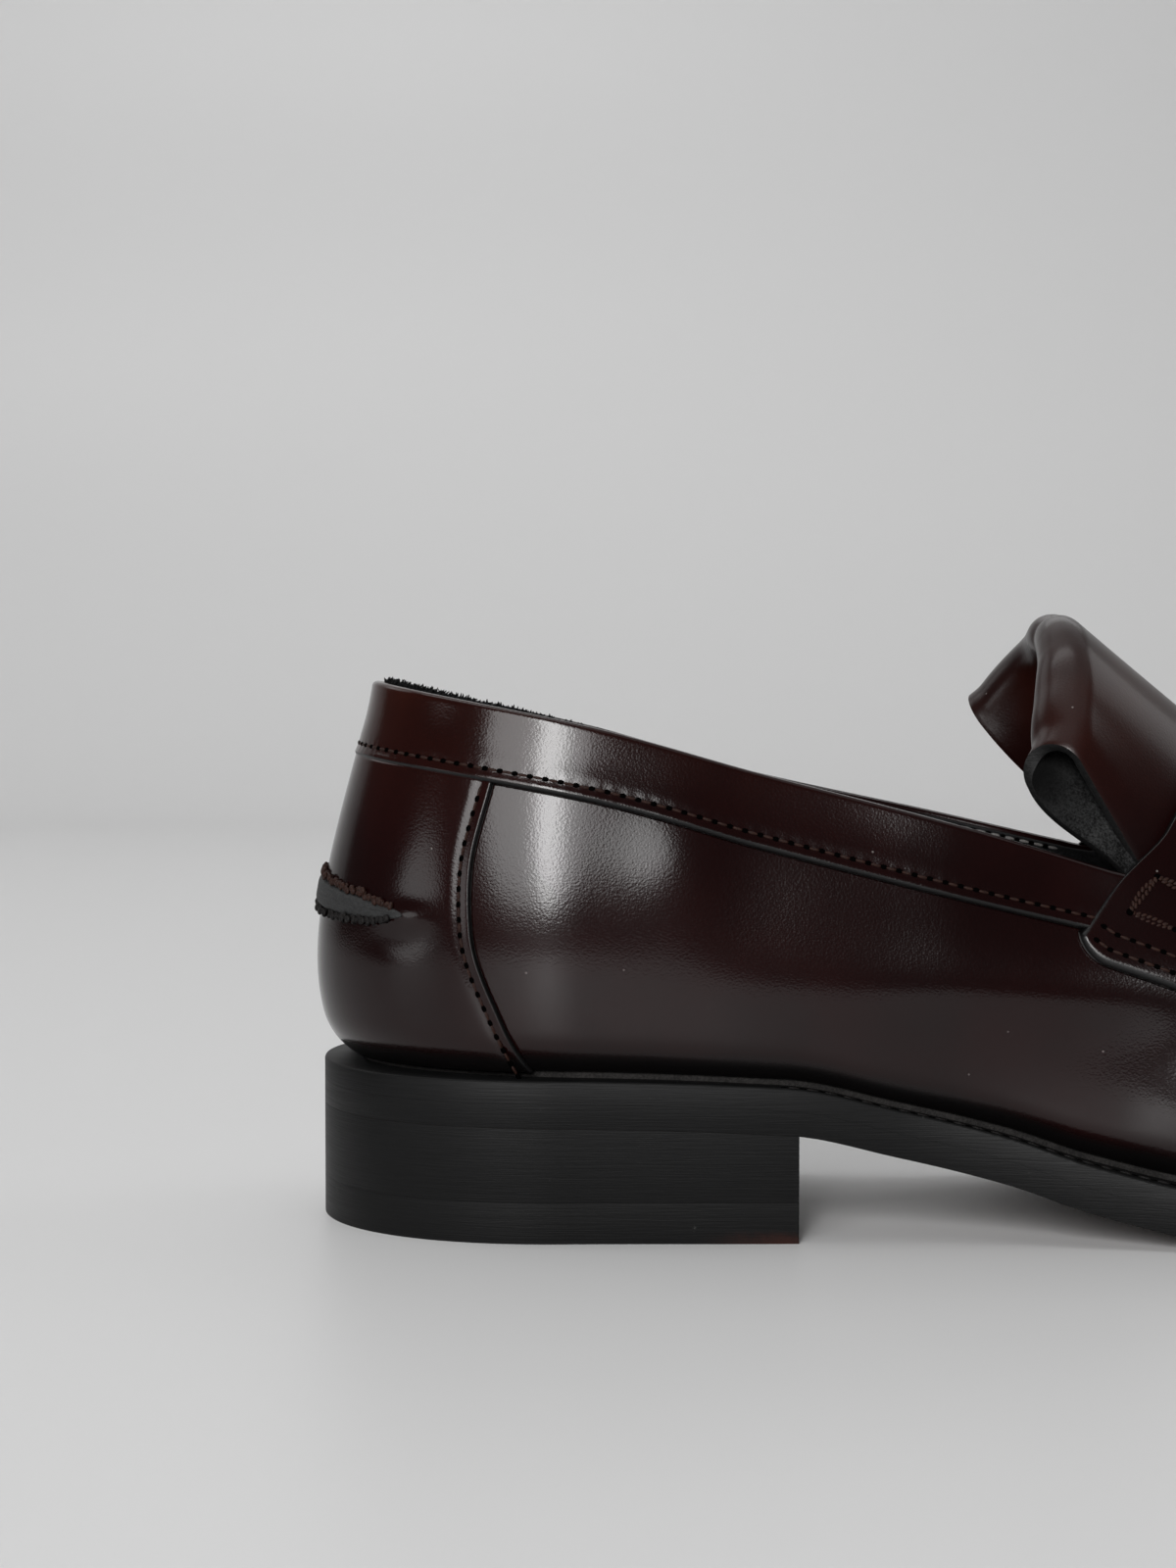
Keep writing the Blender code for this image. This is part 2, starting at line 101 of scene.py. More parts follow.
Bottom = namedtuple("Bottom", "at lift spring margin")
BOTTOM = (
    Bottom(0.000, 1.000, 0.000, 0.0044),
    Bottom(0.145, 0.985, 0.000, 0.0030),
    Bottom(0.257, 0.925, 0.000, 0.0020),
    Bottom(0.314, 0.735, 0.000, 0.0018),
    Bottom(0.375, 0.503, 0.000, 0.0034),
    Bottom(0.416, 0.296, 0.000, 0.0052),
    Bottom(0.473, 0.100, 0.000, 0.0060),
    Bottom(0.541, 0.000, 0.000, 0.0062),
    Bottom(0.716, 0.000, 0.000, 0.0060),
    Bottom(0.811, 0.000, 0.105, 0.0056),
    Bottom(0.895, 0.000, 0.400, 0.0052),
    Bottom(1.000, 0.000, 1.000, 0.0050),
)

Swelling = namedtuple("Swelling", "at up long tall depth")
QUARTER_SWELLINGS = (
    Swelling(0.0590, 0.0610, 0.0070, 0.0110, 0.00055),
    Swelling(0.1300, 0.0410, 0.0360, 0.0075, 0.0015),
)

Collar = namedtuple("Collar", "at rim_out rim_in band")
COLLAR = (
    Collar(0.015, 1.000, 1.000, 0.858),
    Collar(0.149, 0.917, 0.909, 0.784),
    Collar(0.243, 0.832, 0.821, 0.698),
    Collar(0.354, 0.736, 0.741, 0.604),
    Collar(0.432, 0.658, 0.682, 0.542),
)


def lerp(start, end, share):
    """Value that lies a share of the way from start to end."""
    return start + (end - start) * share


def column(rows, name, at):
    """One table column read at places, on a smooth curve that never overshoots its rows."""
    places = np.array([row.at for row in rows])
    values = np.array([getattr(row, name) for row in rows])
    widths = np.diff(places)
    rises = np.diff(values) / widths
    products = rises[:-1] * rises[1:]
    same_way = products > 0
    joined = np.zeros(len(products))
    joined[same_way] = 2 * products[same_way] / (rises[:-1] + rises[1:])[same_way]
    slopes = np.concatenate((rises[:1], joined, rises[-1:]))
    at = np.clip(at, places[0], places[-1])
    left = np.clip(np.searchsorted(places, at, side="right") - 1, 0, len(rises) - 1)
    t = (at - places[left]) / widths[left]
    ease = t * t * (3 - 2 * t)
    bend = t * (1 - t) * widths[left] * (slopes[left] * (1 - t) - slopes[left + 1] * t)
    return lerp(values[left], values[left + 1], ease) + bend


def seat(at):
    """Height of the sole's top face at stations."""
    share = at / LENGTH
    lift = column(BOTTOM, "lift", share) * HEEL_LIFT
    spring = column(BOTTOM, "spring", share) * TOE_SPRING
    return SOLE + lift + spring


def rounding(at, start, end):
    """Share of the full width that the round heel and toe leave at stations."""
    heel = np.clip((at - start) / HEEL_RADIUS, 0, 1)
    toe = np.clip((end - at) / TOE_RADIUS, 0, 1)
    heel_width = (1 - (1 - heel) ** HEEL_POWER) ** (1 / HEEL_POWER)
    toe_width = (1 - (1 - toe) ** TOE_POWER) ** (1 / TOE_POWER)
    return heel_width * toe_width


def spread(share, start, end):
    """Stations at shares of the way along, close together at the round ends."""
    heel = start + HEEL_RADIUS * (1 - np.cos(math.pi / 2 * np.minimum(share / HEEL_PART, 1)))
    toe = end - TOE_RADIUS * (1 - np.cos(math.pi / 2 * np.minimum((1 - share) / TOE_PART, 1)))
    middle = (share - HEEL_PART) / (1 - HEEL_PART - TOE_PART)
    straight = lerp(start + HEEL_RADIUS, end - TOE_RADIUS, middle)
    return np.where(share < HEEL_PART, heel, np.where(share > 1 - TOE_PART, toe, straight))


def axis(at):
    """Sideways place of the foot's axis, which swings to the inner side at the toe."""
    return column(LAST, "axis", at / LENGTH) * BALL_WIDTH


def sided(name, at, side):
    """A width of the last that differs between the outer and the inner side."""
    share = at / LENGTH
    return np.where(side == OUTER, column(LAST, name + "_out", share), column(LAST, name + "_in", share))


def last_rails(at, side):
    """Control points of half sections of the last: feather, belly, shoulder and top."""
    share = at / LENGTH
    widths = np.stack(
        (
            sided("feather", at, side),
            sided("belly", at, side),
            column(LAST, "shoulder", share),
            column(LAST, "top", share),
        )
    )
    heights = np.stack(
        (
            np.full_like(at, GAP / INSTEP),
            column(LAST, "belly_up", share),
            column(LAST, "shoulder_up", share),
            column(LAST, "top_up", share),
        )
    )
    near_heel = np.clip(1 - (at - UPPER_BACK) / HEEL_REACH, 0, None) ** 2
    near_toe = np.clip(1 - (UPPER_TIP - at) / TOE_REACH, 0, None) ** 2
    along = at - MIDDLE + np.outer(HEEL_CURVE, near_heel) + np.outer(TOE_CURVE, near_toe)
    across = axis(at) + side * widths * BALL_WIDTH * rounding(at, UPPER_BACK, UPPER_TIP)
    return np.stack((along, across, seat(at) + heights * INSTEP), axis=-1)


def bezier(rails, share):
    """Points on cubic curves through four control points."""
    rest = 1 - share
    weights = np.stack((rest**3, 3 * share * rest**2, 3 * share**2 * rest, share**3))
    return (rails * weights[..., None]).sum(axis=0)


def last_point(at, share, side):
    """Points of the last at stations, a share of the way up from feather to top."""
    return bezier(last_rails(at, side), share)


def unit(vectors):
    """The same directions with length one."""
    return vectors / np.linalg.norm(vectors, axis=-1, keepdims=True)


def last_frame(at, share, side):
    """Points of the last with their outward and upward directions."""
    at = np.clip(at, UPPER_BACK, UPPER_TIP - STEP)
    share = np.clip(share, STEP, 1 - STEP)
    here = last_point(at, share, side)
    along = last_point(at + STEP, share, side) - here
    up = last_point(at, share + STEP, side) - here
    return here, unit(np.cross(along, up) * -side[:, None]), unit(up)


def swelling(rows, at, height):
    """Sum of soft bulges and hollows, each with its place, its reach and its height."""
    reaches = [((at - row.at) / row.long) ** 2 + ((height - row.up) / row.tall) ** 2 for row in rows]
    return sum(row.depth * np.exp(-reach) for row, reach in zip(rows, reaches))


def line_on_last(at, share, side, lift):
    """Points at distances outside the last, with their outward directions."""
    here, outward, _ = last_frame(at, share, side)
    lift = lift + np.where(side == OUTER, swelling(QUARTER_SWELLINGS, at, here[:, 2]), 0.0)
    return here + outward * lift[:, None], outward


def lifted(at, share, side, lift):
    """Points at distances outside the last."""
    return line_on_last(at, share, side, lift)[0]


def share_at_height(at, height, side):
    """How far up its sections the last reaches a height."""
    rails = last_rails(at, side)
    low = np.zeros_like(at)
    high = np.ones_like(at)
    for _ in range(30):
        middle = (low + high) / 2
        below = bezier(rails, middle)[:, 2] < height
        low = np.where(below, middle, low)
        high = np.where(below, high, middle)
    return low


def rim_share(at, side):
    """How far up its sections the upper goes: to the collar, along the throat, or to the ridge."""
    front = np.minimum(at, COLLAR_FRONT)
    rim_out = column(COLLAR, "rim_out", front / LENGTH)
    rim_in = column(COLLAR, "rim_in", front / LENGTH)
    collar = share_at_height(front, np.where(side == OUTER, rim_out, rim_in) * BACK_HEIGHT, side)
    throat = np.clip((at - COLLAR_FRONT) / (THROAT - COLLAR_FRONT), 0, 1)
    return lerp(collar, 1.0, throat**THROAT_POWER)


def moulded(columns, rows, place):
    """Flat grid whose points move to their places and keep marks for the finish."""
    shape = bmesh.new()
    bmesh.ops.create_grid(shape, x_segments=columns, y_segments=rows, size=0.5)
    flat = np.array([vert.co for vert in shape.verts]) + 0.5
    points, marks = place(flat[:, 0], flat[:, 1])
    for key, values in marks.items():
        layer = shape.verts.layers.float.new(key)
        for vert, value in zip(shape.verts, values):
            vert[layer] = value
    for vert, point in zip(shape.verts, points):
        vert.co = point
    bmesh.ops.remove_doubles(shape, verts=shape.verts, dist=WELD)
    bmesh.ops.dissolve_degenerate(shape, edges=shape.edges, dist=WELD)
    return shape


def piece(name, shape, *finishes):
    """Object with its place in its mesh, smooth faces and its finishes, that rides with the shoe."""
    mesh = bpy.data.meshes.new(name)
    shape.to_mesh(mesh)
    shape.free()
    mesh.shade_smooth()
    for finish in finishes:
        mesh.materials.append(finish)
    made = bpy.data.objects.new(name, mesh)
    bpy.context.scene.collection.objects.link(made)
    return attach(made, "root")


def sheet(name, columns, rows, place, *finishes):
    """Piece of thin leather, moulded from a flat grid."""
    return piece(name, moulded(columns, rows, place), *finishes)


def thicken(made, wall, offset, inside=0, rim=0):
    """Give a sheet its real thickness, with finishes of their own inside and on the cut rim."""
    solidify = made.modifiers.new("wall", "SOLIDIFY")
    solidify.thickness = wall
    solidify.offset = offset
    solidify.material_offset = inside
    solidify.material_offset_rim = rim


class Paint:
    """Output of a shader node that takes part in Python's sums and products."""

    def __init__(self, tree, socket=None):
        self.tree = tree
        self.socket = socket

    def node(self, kind, settings=None, sockets=None, output=0):
        """New node of a kind, with its settings made first and its sockets filled or linked."""
        made = self.tree.nodes.new(kind)
        for name, value in (settings or {}).items():
            setattr(made, name, value)
        for name, value in (sockets or {}).items():
            if isinstance(value, Paint):
                self.tree.links.new(value.socket, made.inputs[name])
            else:
                made.inputs[name].default_value = value
        return Paint(self.tree, made.outputs[output])

    def math(self, operation, first, second):
        return self.node("ShaderNodeMath", {"operation": operation}, {0: first, 1: second})

    def __add__(self, other):
        return self.math("ADD", self, other)

    def __sub__(self, other):
        return self.math("SUBTRACT", self, other)

    def __rsub__(self, other):
        return self.math("SUBTRACT", other, self)

    def __mul__(self, other):
        return self.math("MULTIPLY", self, other)

    __radd__ = __add__
    __rmul__ = __mul__

    def ramp(self, low, high):
        """Soft step from 0 at low to 1 at high."""
        settings = {"interpolation_type": "SMOOTHSTEP"}
        return self.node("ShaderNodeMapRange", settings, {"Value": self, "From Min": low, "From Max": high})

    def mix(self, first, second):
        """Colour that goes from first to second as this value goes from 0 to 1."""
        sockets = {0: self, 6: first, 7: second}
        return self.node("ShaderNodeMix", {"data_type": "RGBA"}, sockets, output=2)

    def noise(self, vector, scale, detail=3.0, roughness=0.5):
        """Cloudy value around one half."""
        sockets = {"Vector": vector, "Scale": scale, "Detail": detail, "Roughness": roughness}
        return self.node("ShaderNodeTexNoise", None, sockets)

    def mark(self, name):
        """Value that the mesh keeps at its points."""
        return self.node("ShaderNodeAttribute", {"attribute_name": name}, output=2)

    def place(self, scale=(1.0, 1.0, 1.0)):
        """Place on the object, stretched along its axes."""
        coords = self.node("ShaderNodeTexCoord", output=3)
        return self.node("ShaderNodeMapping", None, {"Vector": coords, "Scale": scale})

    def part(self, vector, number):
        """One of the three numbers of a vector."""
        return self.node("ShaderNodeSeparateXYZ", None, {"Vector": vector}, output=number)

    def bump(self, height, distance, strength, normal=None):
        """Normal that a relief of that height gives."""
        sockets = {"Height": height, "Distance": distance, "Strength": strength}
        if normal:
            sockets["Normal"] = normal
        return self.node("ShaderNodeBump", None, sockets)


def material(name, constants):
    """New Principled material with its constant values, and the paint for its nodes."""
    made = bpy.data.materials.new(name)
    made.use_nodes = True
    shader = made.node_tree.nodes["Principled BSDF"]
    for key, value in constants.items():
        shader.inputs[key].default_value = value
    return made, Paint(made.node_tree)


def dress(finish, colour, gloss, normal, coat=None):
    """Material whose shader takes painted values."""
    shader = finish.node_tree.nodes["Principled BSDF"]
    painted = {"Base Color": colour, "Roughness": gloss, "Normal": normal, "Coat Weight": coat}
    for key, value in painted.items():
        if value:
            finish.node_tree.links.new(value.socket, shader.inputs[key])
    return finish


OXBLOOD = (0.0090, 0.0015, 0.0014, 1.0)
OXBLOOD_DEEP = (0.0050, 0.0010, 0.0010, 1.0)
OXBLOOD_WARM = (0.0250, 0.0054, 0.0028, 1.0)
EDGE_DYE_AND_SHADE_BLACK = (0.0022, 0.0020, 0.0021, 1.0)
DUST = (0.2200, 0.2000, 0.1900, 1.0)
GRAIN_CELLS = 3000.0
GRAIN_DEPTH = 0.000018
SOFT_CELLS = 40.0
SOFT_DEPTH = 0.0004
CLOUD_CELLS = 26.0
SPECK_CELLS = 330.0
SPECK_SHARE = 0.55
POLISH = 0.11
COAT = 0.08
DULLED = 0.20
WARM_FROM = 0.060
WARM_TO = 0.105
WELT_SHADE_FROM = 0.0025
WELT_SHADE_TO = 0.0052
WELT_SHADE_SHARE = 0.95


def oxblood_leather(name, edge_width=0.0, shaded_at_welt=False, polish=POLISH):
    """Polished calf: deep red-brown, lighter and warmer higher up, with fine grain, black cut edges, and
    painted shade near the welt where asked.
    """
    finish, paint = material(name, {"Specular IOR Level": 0.31, "Coat Roughness": 0.09, "Coat IOR": 1.4})
    place = paint.place()
    clouds = paint.noise(place, CLOUD_CELLS, 4.0)
    # Lighter, warmer red higher up the shoe, broken by clouds.
    warm = paint.part(place, 2).ramp(WARM_FROM, WARM_TO) * clouds.ramp(0.30, 0.70)
    colour = clouds.ramp(0.35, 0.68).mix(OXBLOOD_DEEP, OXBLOOD)
    colour = warm.mix(colour, OXBLOOD_WARM)
    cells = paint.node(
        "ShaderNodeTexVoronoi", {"feature": "SMOOTH_F1"}, {"Vector": place, "Scale": GRAIN_CELLS}
    )
    pores = paint.noise(place, GRAIN_CELLS * 0.7, 3.0, 0.6)
    speck_sockets = {"Vector": place, "Scale": SPECK_CELLS}
    specks = paint.node("ShaderNodeTexVoronoi", None, speck_sockets)
    spots = paint.node("ShaderNodeTexVoronoi", None, speck_sockets, output=1)
    chosen = paint.node("ShaderNodeSeparateColor", None, {"Color": spots})
    dust = (1 - specks.ramp(0.03, 0.075)) * chosen.ramp(0.86, 0.90)
    colour = (dust * SPECK_SHARE).mix(colour, DUST)
    gloss = polish + clouds * 0.06 + pores * 0.04
    coat = COAT - dust * COAT
    if edge_width:
        ragged = paint.mark("edge") + (pores - 0.5) * (edge_width * 0.35)
        cut = 1 - ragged.ramp(edge_width * 0.75, edge_width)
        colour = cut.mix(colour, EDGE_DYE_AND_SHADE_BLACK)
        gloss = gloss + cut * DULLED
        coat = coat - cut * COAT
    # Painted shade and painted reflection of the black welt: the last few millimetres above the welt turn
    # nearly black and duller.
    if shaded_at_welt:
        welt_shade = 1 - (paint.mark("foot") + (clouds - 0.5) * 0.002).ramp(WELT_SHADE_FROM, WELT_SHADE_TO)
        colour = (welt_shade * WELT_SHADE_SHARE).mix(colour, EDGE_DYE_AND_SHADE_BLACK)
        gloss = gloss + welt_shade * DULLED
    grain = paint.bump(cells * 0.8 + pores * 0.5, GRAIN_DEPTH, 0.9)
    relief = paint.bump(paint.noise(place, SOFT_CELLS, 1.0), SOFT_DEPTH, 0.5, grain)
    return dress(finish, colour, gloss, relief, coat)


def undercut(at, points):
    """How far the leather is drawn in where it turns under, towards the welt."""
    near = np.clip(1 - (points[:, 2] - seat(at)) / UNDERCUT_TALL, 0.0, 1.0)
    return UNDERCUT * near**2


def upper_place(u, v):
    """Along the outer side to the toe and back along the inner side, and up to the rim."""
    side = np.where(u <= 0.5, OUTER, INNER)
    at = spread(1 - np.abs(2 * u - 1), UPPER_BACK, UPPER_TIP)
    share = v**UPPER_FOOT_CROWDING * rim_share(at, side)
    here = last_point(at, share, side)
    return lifted(at, share, side, -undercut(at, here)), {"foot": here[:, 2] - seat(at)}


upper_calf = oxblood_leather("upper_calf", shaded_at_welt=True)
upper = sheet("upper_skin", UPPER_COLUMNS, UPPER_ROWS, upper_place, upper_calf)
thicken(upper, UPPER_SKIN, -1.0)
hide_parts("upper")

# Lining: black suede glued inside the upper, with its raw edge level with the topline at the back.
# Nap stands out of the raw edge, and a row of pale stitches holds it to the collar band.
LINING_OUT = 0.0005
LINING_WALL = 0.0012
LINING_DROP = 0.0007
LINING_ROWS = 30
SUEDE_BLACK = (0.0040, 0.0040, 0.0043, 1.0)
SUEDE_GREY = (0.0160, 0.0158, 0.0165, 1.0)
NAP_LENGTH = 0.0013
NAP_RADIUS = 0.00028
NAP_END = 0.050
NAP_COUNT = 700
NAP_CROWDING = 1.7
NAP_LEAN = 0.55
NAP_SHORTEST = 0.25
NAP_TIP = 0.2
NAP_CELLS = 2600.0
BRUSH_CELLS = 210.0
NAP_DEPTH = 0.00025


def suede(name, dark, light, unshaded_mark=""):
    """Napped flesh side: dull, mottled and a little fuzzy; painted shade makes it all dark where its mark
    says 0.
    """
    constants = {"Specular IOR Level": 0.1, "Sheen Weight": 0.02, "Sheen Roughness": 0.6}
    finish, paint = material(name, constants)
    place = paint.place()
    nap = paint.noise(place, NAP_CELLS, 3.0, 0.7)
    brushed = paint.noise(place, BRUSH_CELLS, 4.0, 0.6)
    mottle = (nap * 0.6 + brushed * 0.4).ramp(0.38, 0.66)
    # Painted shade: all dark where the mark is 0.
    if unshaded_mark:
        mottle = mottle * paint.mark(unshaded_mark)
    relief = paint.bump(nap + brushed * 0.6, NAP_DEPTH, 0.9)
    return dress(finish, mottle.mix(dark, light), 0.86 + nap * 0.1, relief)


def lining_place(u, v):
    """The upper's inner face, from the insole to the raw edge at the topline."""
    side = np.where(u <= 0.5, OUTER, INNER)
    at = spread(1 - np.abs(2 * u - 1), UPPER_BACK, UPPER_TIP)
    here, outward, up = last_frame(at, v * rim_share(at, side), side)
    inside = LINING_OUT + undercut(at, here)
    return here - outward * inside[:, None] - up * LINING_DROP * v[:, None], {}


lining_suede = suede("lining_suede", SUEDE_BLACK, SUEDE_GREY)
lining = sheet("lining", UPPER_COLUMNS // 2, LINING_ROWS, lining_place, lining_suede)
thicken(lining, LINING_WALL, -1.0)

nap_shape = bmesh.new()
chance = np.random.default_rng(11)
for _ in range(NAP_COUNT):
    back = chance.random() ** NAP_CROWDING
    at = np.array([UPPER_BACK + NAP_END * back])
    side = np.array([chance.choice((OUTER, INNER))])
    here, outward, up = (value[0] for value in last_frame(at, rim_share(at, side), side))
    root = here - outward * chance.uniform(LINING_OUT, LINING_OUT + LINING_WALL)
    lean = unit(up + chance.normal(0.0, NAP_LEAN, 3))
    tall = NAP_LENGTH * chance.uniform(NAP_SHORTEST, 1.0) * (1 - back) ** 0.5
    turn = Vector(lean).to_track_quat("Z", "Y").to_matrix().to_4x4()
    bmesh.ops.create_cone(
        nap_shape,
        cap_ends=True,
        segments=4,
        radius1=NAP_RADIUS,
        radius2=NAP_RADIUS * NAP_TIP,
        depth=tall,
        matrix=Matrix.Translation(Vector(root + lean * tall / 2)) @ turn,
    )
nap_values = {"Base Color": SUEDE_BLACK, "Roughness": 0.95, "Specular IOR Level": 0.1}
nap_black, _ = material("nap_black", nap_values)
nap = piece("lining_nap", nap_shape, nap_black)

# Thread: waxed brown linen, sewn in rows through punched holes; a small flat black body at each hole
# between stitches is painted shade in the hole.
# One function lays the rows of single stitches, another the heavy ropes of heel dart and strap.
THREAD_BROWN = (0.0240, 0.0085, 0.0052, 1.0)
THREAD_DARK = (0.0060, 0.0048, 0.0046, 1.0)
THREAD_PALE = (0.1700, 0.1620, 0.1560, 1.0)
HOLE_SHADE_AND_EDGE_BLACK = (0.0010, 0.0009, 0.0009, 1.0)
STITCH_PITCH = 0.0025
STITCH_WIDTH = 0.00054
STITCH_SHARE = 0.70
STITCH_PROUD = -0.05
HOLE_LENGTH = 0.00125
HOLE_WIDTH = 0.00090
HOLE_DEPTH = 0.00026
THREAD_SIDES = 8
THREAD_RINGS = 6
HOLE_RINGS = 4
TWIST_CELLS = 3600.0
TWIST_DEPTH = 0.0002
TWIST_DARK = 0.45
ROPE_PACKING = 1.25
ROPE_FLATNESS = 0.7
ROPE_SHAKE = 0.25


def thread(name, colour):
    """Waxed thread, nearly dull, with dark twists."""
    finish, paint = material(name, {"Specular IOR Level": 0.16})
    twists = paint.noise(paint.place(), TWIST_CELLS, 2.0)
    dark = tuple(part * TWIST_DARK for part in colour[:3]) + (1.0,)
    relief = paint.bump(twists, TWIST_DEPTH, 0.7)
    return dress(finish, twists.ramp(0.35, 0.65).mix(dark, colour), 0.48 + twists * 0.2, relief)


brown_thread = thread("brown_thread", THREAD_BROWN)
dark_thread = thread("dark_thread", THREAD_DARK)
pale_thread = thread("pale_thread", THREAD_PALE)
# Black bodies at the stitch holes are painted shade in the holes.
hole_shade_values = {"Base Color": HOLE_SHADE_AND_EDGE_BLACK, "Roughness": 0.9, "Specular IOR Level": 0.0}
stitch_hole_shade, _ = material("stitch_hole_shade", hole_shade_values)


def along_path(points, outward, pitch):
    """Places and outward directions at even steps along a line on the leather."""
    lengths = np.linalg.norm(np.diff(points, axis=0), axis=1)
    walked = np.concatenate(([0.0], np.cumsum(lengths)))
    count = max(2, round(walked[-1] / pitch) + 1)
    steps = np.linspace(0.0, walked[-1], count)
    here = np.stack([np.interp(steps, walked, points[:, i]) for i in range(3)], axis=-1)
    out = unit(np.stack([np.interp(steps, walked, outward[:, i]) for i in range(3)], axis=-1))
    return here, out


def round_body(rings, finish_index):
    """Small round body of unit size with the number of its finish, to be copied along the rows."""
    shape = bmesh.new()
    bmesh.ops.create_uvsphere(shape, u_segments=THREAD_SIDES, v_segments=rings, radius=0.5)
    for face in shape.faces:
        face.material_index = finish_index
    made = bpy.data.meshes.new("round_body")
    shape.to_mesh(made)
    shape.free()
    return made


thread_body = round_body(THREAD_RINGS, 0)
hole_shade_body = round_body(HOLE_RINGS, 1)


def lay(shape, body, centre, along, out, size):
    """Copy a round body to its place, with its length along the row and its height out of the leather."""
    turn = np.stack((np.cross(out, along) * size[1], out * size[2], along * size[0]))
    first = len(shape.verts)
    shape.from_mesh(body)
    shape.verts.ensure_lookup_table()
    for vert in shape.verts[first:]:
        vert.co = centre + np.array(vert.co) @ turn


def on_both_sides(values):
    """Values along a line on the outer side, and again on the inner side, each with its side."""
    return ((values, np.full(len(values), side)) for side in (OUTER, INNER))


def stitch_row(shape, points, outward, pitch=STITCH_PITCH, width=STITCH_WIDTH):
    """Stitches from hole to hole along a line on the leather, each sunk at its ends."""
    here, out = along_path(points, outward, pitch)
    for first, second, up in zip(here[:-1], here[1:], unit(out[:-1] + out[1:])):
        along = unit(second - first)
        span = np.linalg.norm(second - first)
        size = (span * STITCH_SHARE, width, width)
        lay(shape, thread_body, (first + second) / 2 + up * width * STITCH_PROUD, along, up, size)
        # A flat black body at each hole is painted shade.
        lay(shape, hole_shade_body, first, along, up, (HOLE_LENGTH, HOLE_WIDTH, HOLE_DEPTH))


def rope(shape, points, outward, pitch, width, slant, fray=0.0):
    """Heavy thread whose strands cross its line at a slant, some of them frayed out of their places."""
    here, out = along_path(points, outward, pitch)
    for first, second, up in zip(here[:-1], here[1:], unit(out[:-1] + out[1:])):
        along = unit(second - first)
        turn = slant * (1 + fray * chance.uniform(-1.0, 1.0))
        slanted = along * math.cos(turn) + np.cross(up, along) * math.sin(turn)
        steep = abs(math.sin(slant))
        size = (width / steep, pitch * steep * ROPE_PACKING, width * ROPE_FLATNESS)
        centre = (first + second) / 2 + chance.normal(0.0, ROPE_SHAKE, 3) * fray * width
        lay(shape, thread_body, centre, slanted, up, size)


LINING_STITCH_DROP = 0.0012
LINING_STITCH_WIDTH = 0.0006
LINING_STITCH_PITCH = 0.0026
LINING_ROW_END = 0.49
lining_row = bmesh.new()
lining_at = spread(np.linspace(0.0, LINING_ROW_END, 200), UPPER_BACK, UPPER_TIP)
for at, side in on_both_sides(lining_at[lining_at < COLLAR_FRONT]):
    height = last_point(at, rim_share(at, side), side)[:, 2] - LINING_STITCH_DROP
    inside = -(LINING_OUT + LINING_WALL)
    points, outward = line_on_last(at, share_at_height(at, height, side), side, inside)
    stitch_row(lining_row, points, -outward, LINING_STITCH_PITCH, LINING_STITCH_WIDTH)
lining_stitches = piece("lining_stitches", lining_row, pale_thread, stitch_hole_shade)

# Back counter: a stiff leather panel lasted round the heel over the quarters, with a dyed cut edge.
# A row of stitches runs inside its curved front edge; the heel dart gathers it at half height.
COUNTER_WALL = 0.0009
COUNTER_FOOT = 0.0004
COUNTER_TUCK = 0.0005
COUNTER_EDGE_ROUND = 0.0005
COUNTER_STITCH = 0.0019
COUNTER_PUCKER = 0.00020
COUNTER_PUCKER_REACH = 0.0010
COUNTER_COLUMNS = 230
COUNTER_ROWS = 90
COUNTER_CROWDING = 1.5
COUNTER_ROW_FROM = 0.01
COUNTER_ROW_TO = 0.985
PANEL_SKIN = GAP * 0.5
Seam = namedtuple("Seam", "at station")
COUNTER_EDGE = (
    Seam(0.00, 0.0355),
    Seam(0.25, 0.0322),
    Seam(0.55, 0.0279),
    Seam(0.75, 0.0271),
    Seam(1.00, 0.0288),
)
COUNTER_SWELLINGS = (
    Swelling(0.0185, 0.0512, 0.0034, 0.0020, 0.0005),
    Swelling(0.0165, 0.0470, 0.0040, 0.0026, -0.0002),
)


def walk(front):
    """Length of the way on the plan outline from the back of the heel to a station."""
    full = np.arccos(np.clip(1 - (front - UPPER_BACK) / HEEL_RADIUS, 0.0, 1.0))
    return full * HEEL_RADIUS + np.clip(front - UPPER_BACK - HEEL_RADIUS, 0.0, None)


def station(walked):
    """Station that a walk from the back of the heel reaches."""
    quarter = HEEL_RADIUS * math.pi / 2
    turned = HEEL_RADIUS * (1 - np.cos(np.minimum(walked, quarter) / HEEL_RADIUS))
    return UPPER_BACK + turned + np.clip(walked - quarter, 0.0, None)


def edge_height(edge, radius):
    """Share of a panel's thickness that is reached at a distance from its rounded cut edge."""
    return np.sqrt(1 - np.clip(1 - edge / radius, 0.0, 1.0) ** 2)


def band_height(at):
    """Height of the collar band's lower edge."""
    return column(COLLAR, "band", at / LENGTH) * BACK_HEIGHT


def counter_share(at, v, side):
    """How far up the last the counter's points lie, from just above the welt to under the band."""
    foot = share_at_height(at, seat(at) + COUNTER_FOOT, side)
    top = share_at_height(at, band_height(at) + COUNTER_TUCK, side)
    return lerp(foot, top, v)


def counter_line(edge, v, side, lift):
    """Line on the counter at a distance from its front edge."""
    at = station(walk(column(COUNTER_EDGE, "station", v)) - edge)
    return line_on_last(at, counter_share(at, v, side), side, lift)


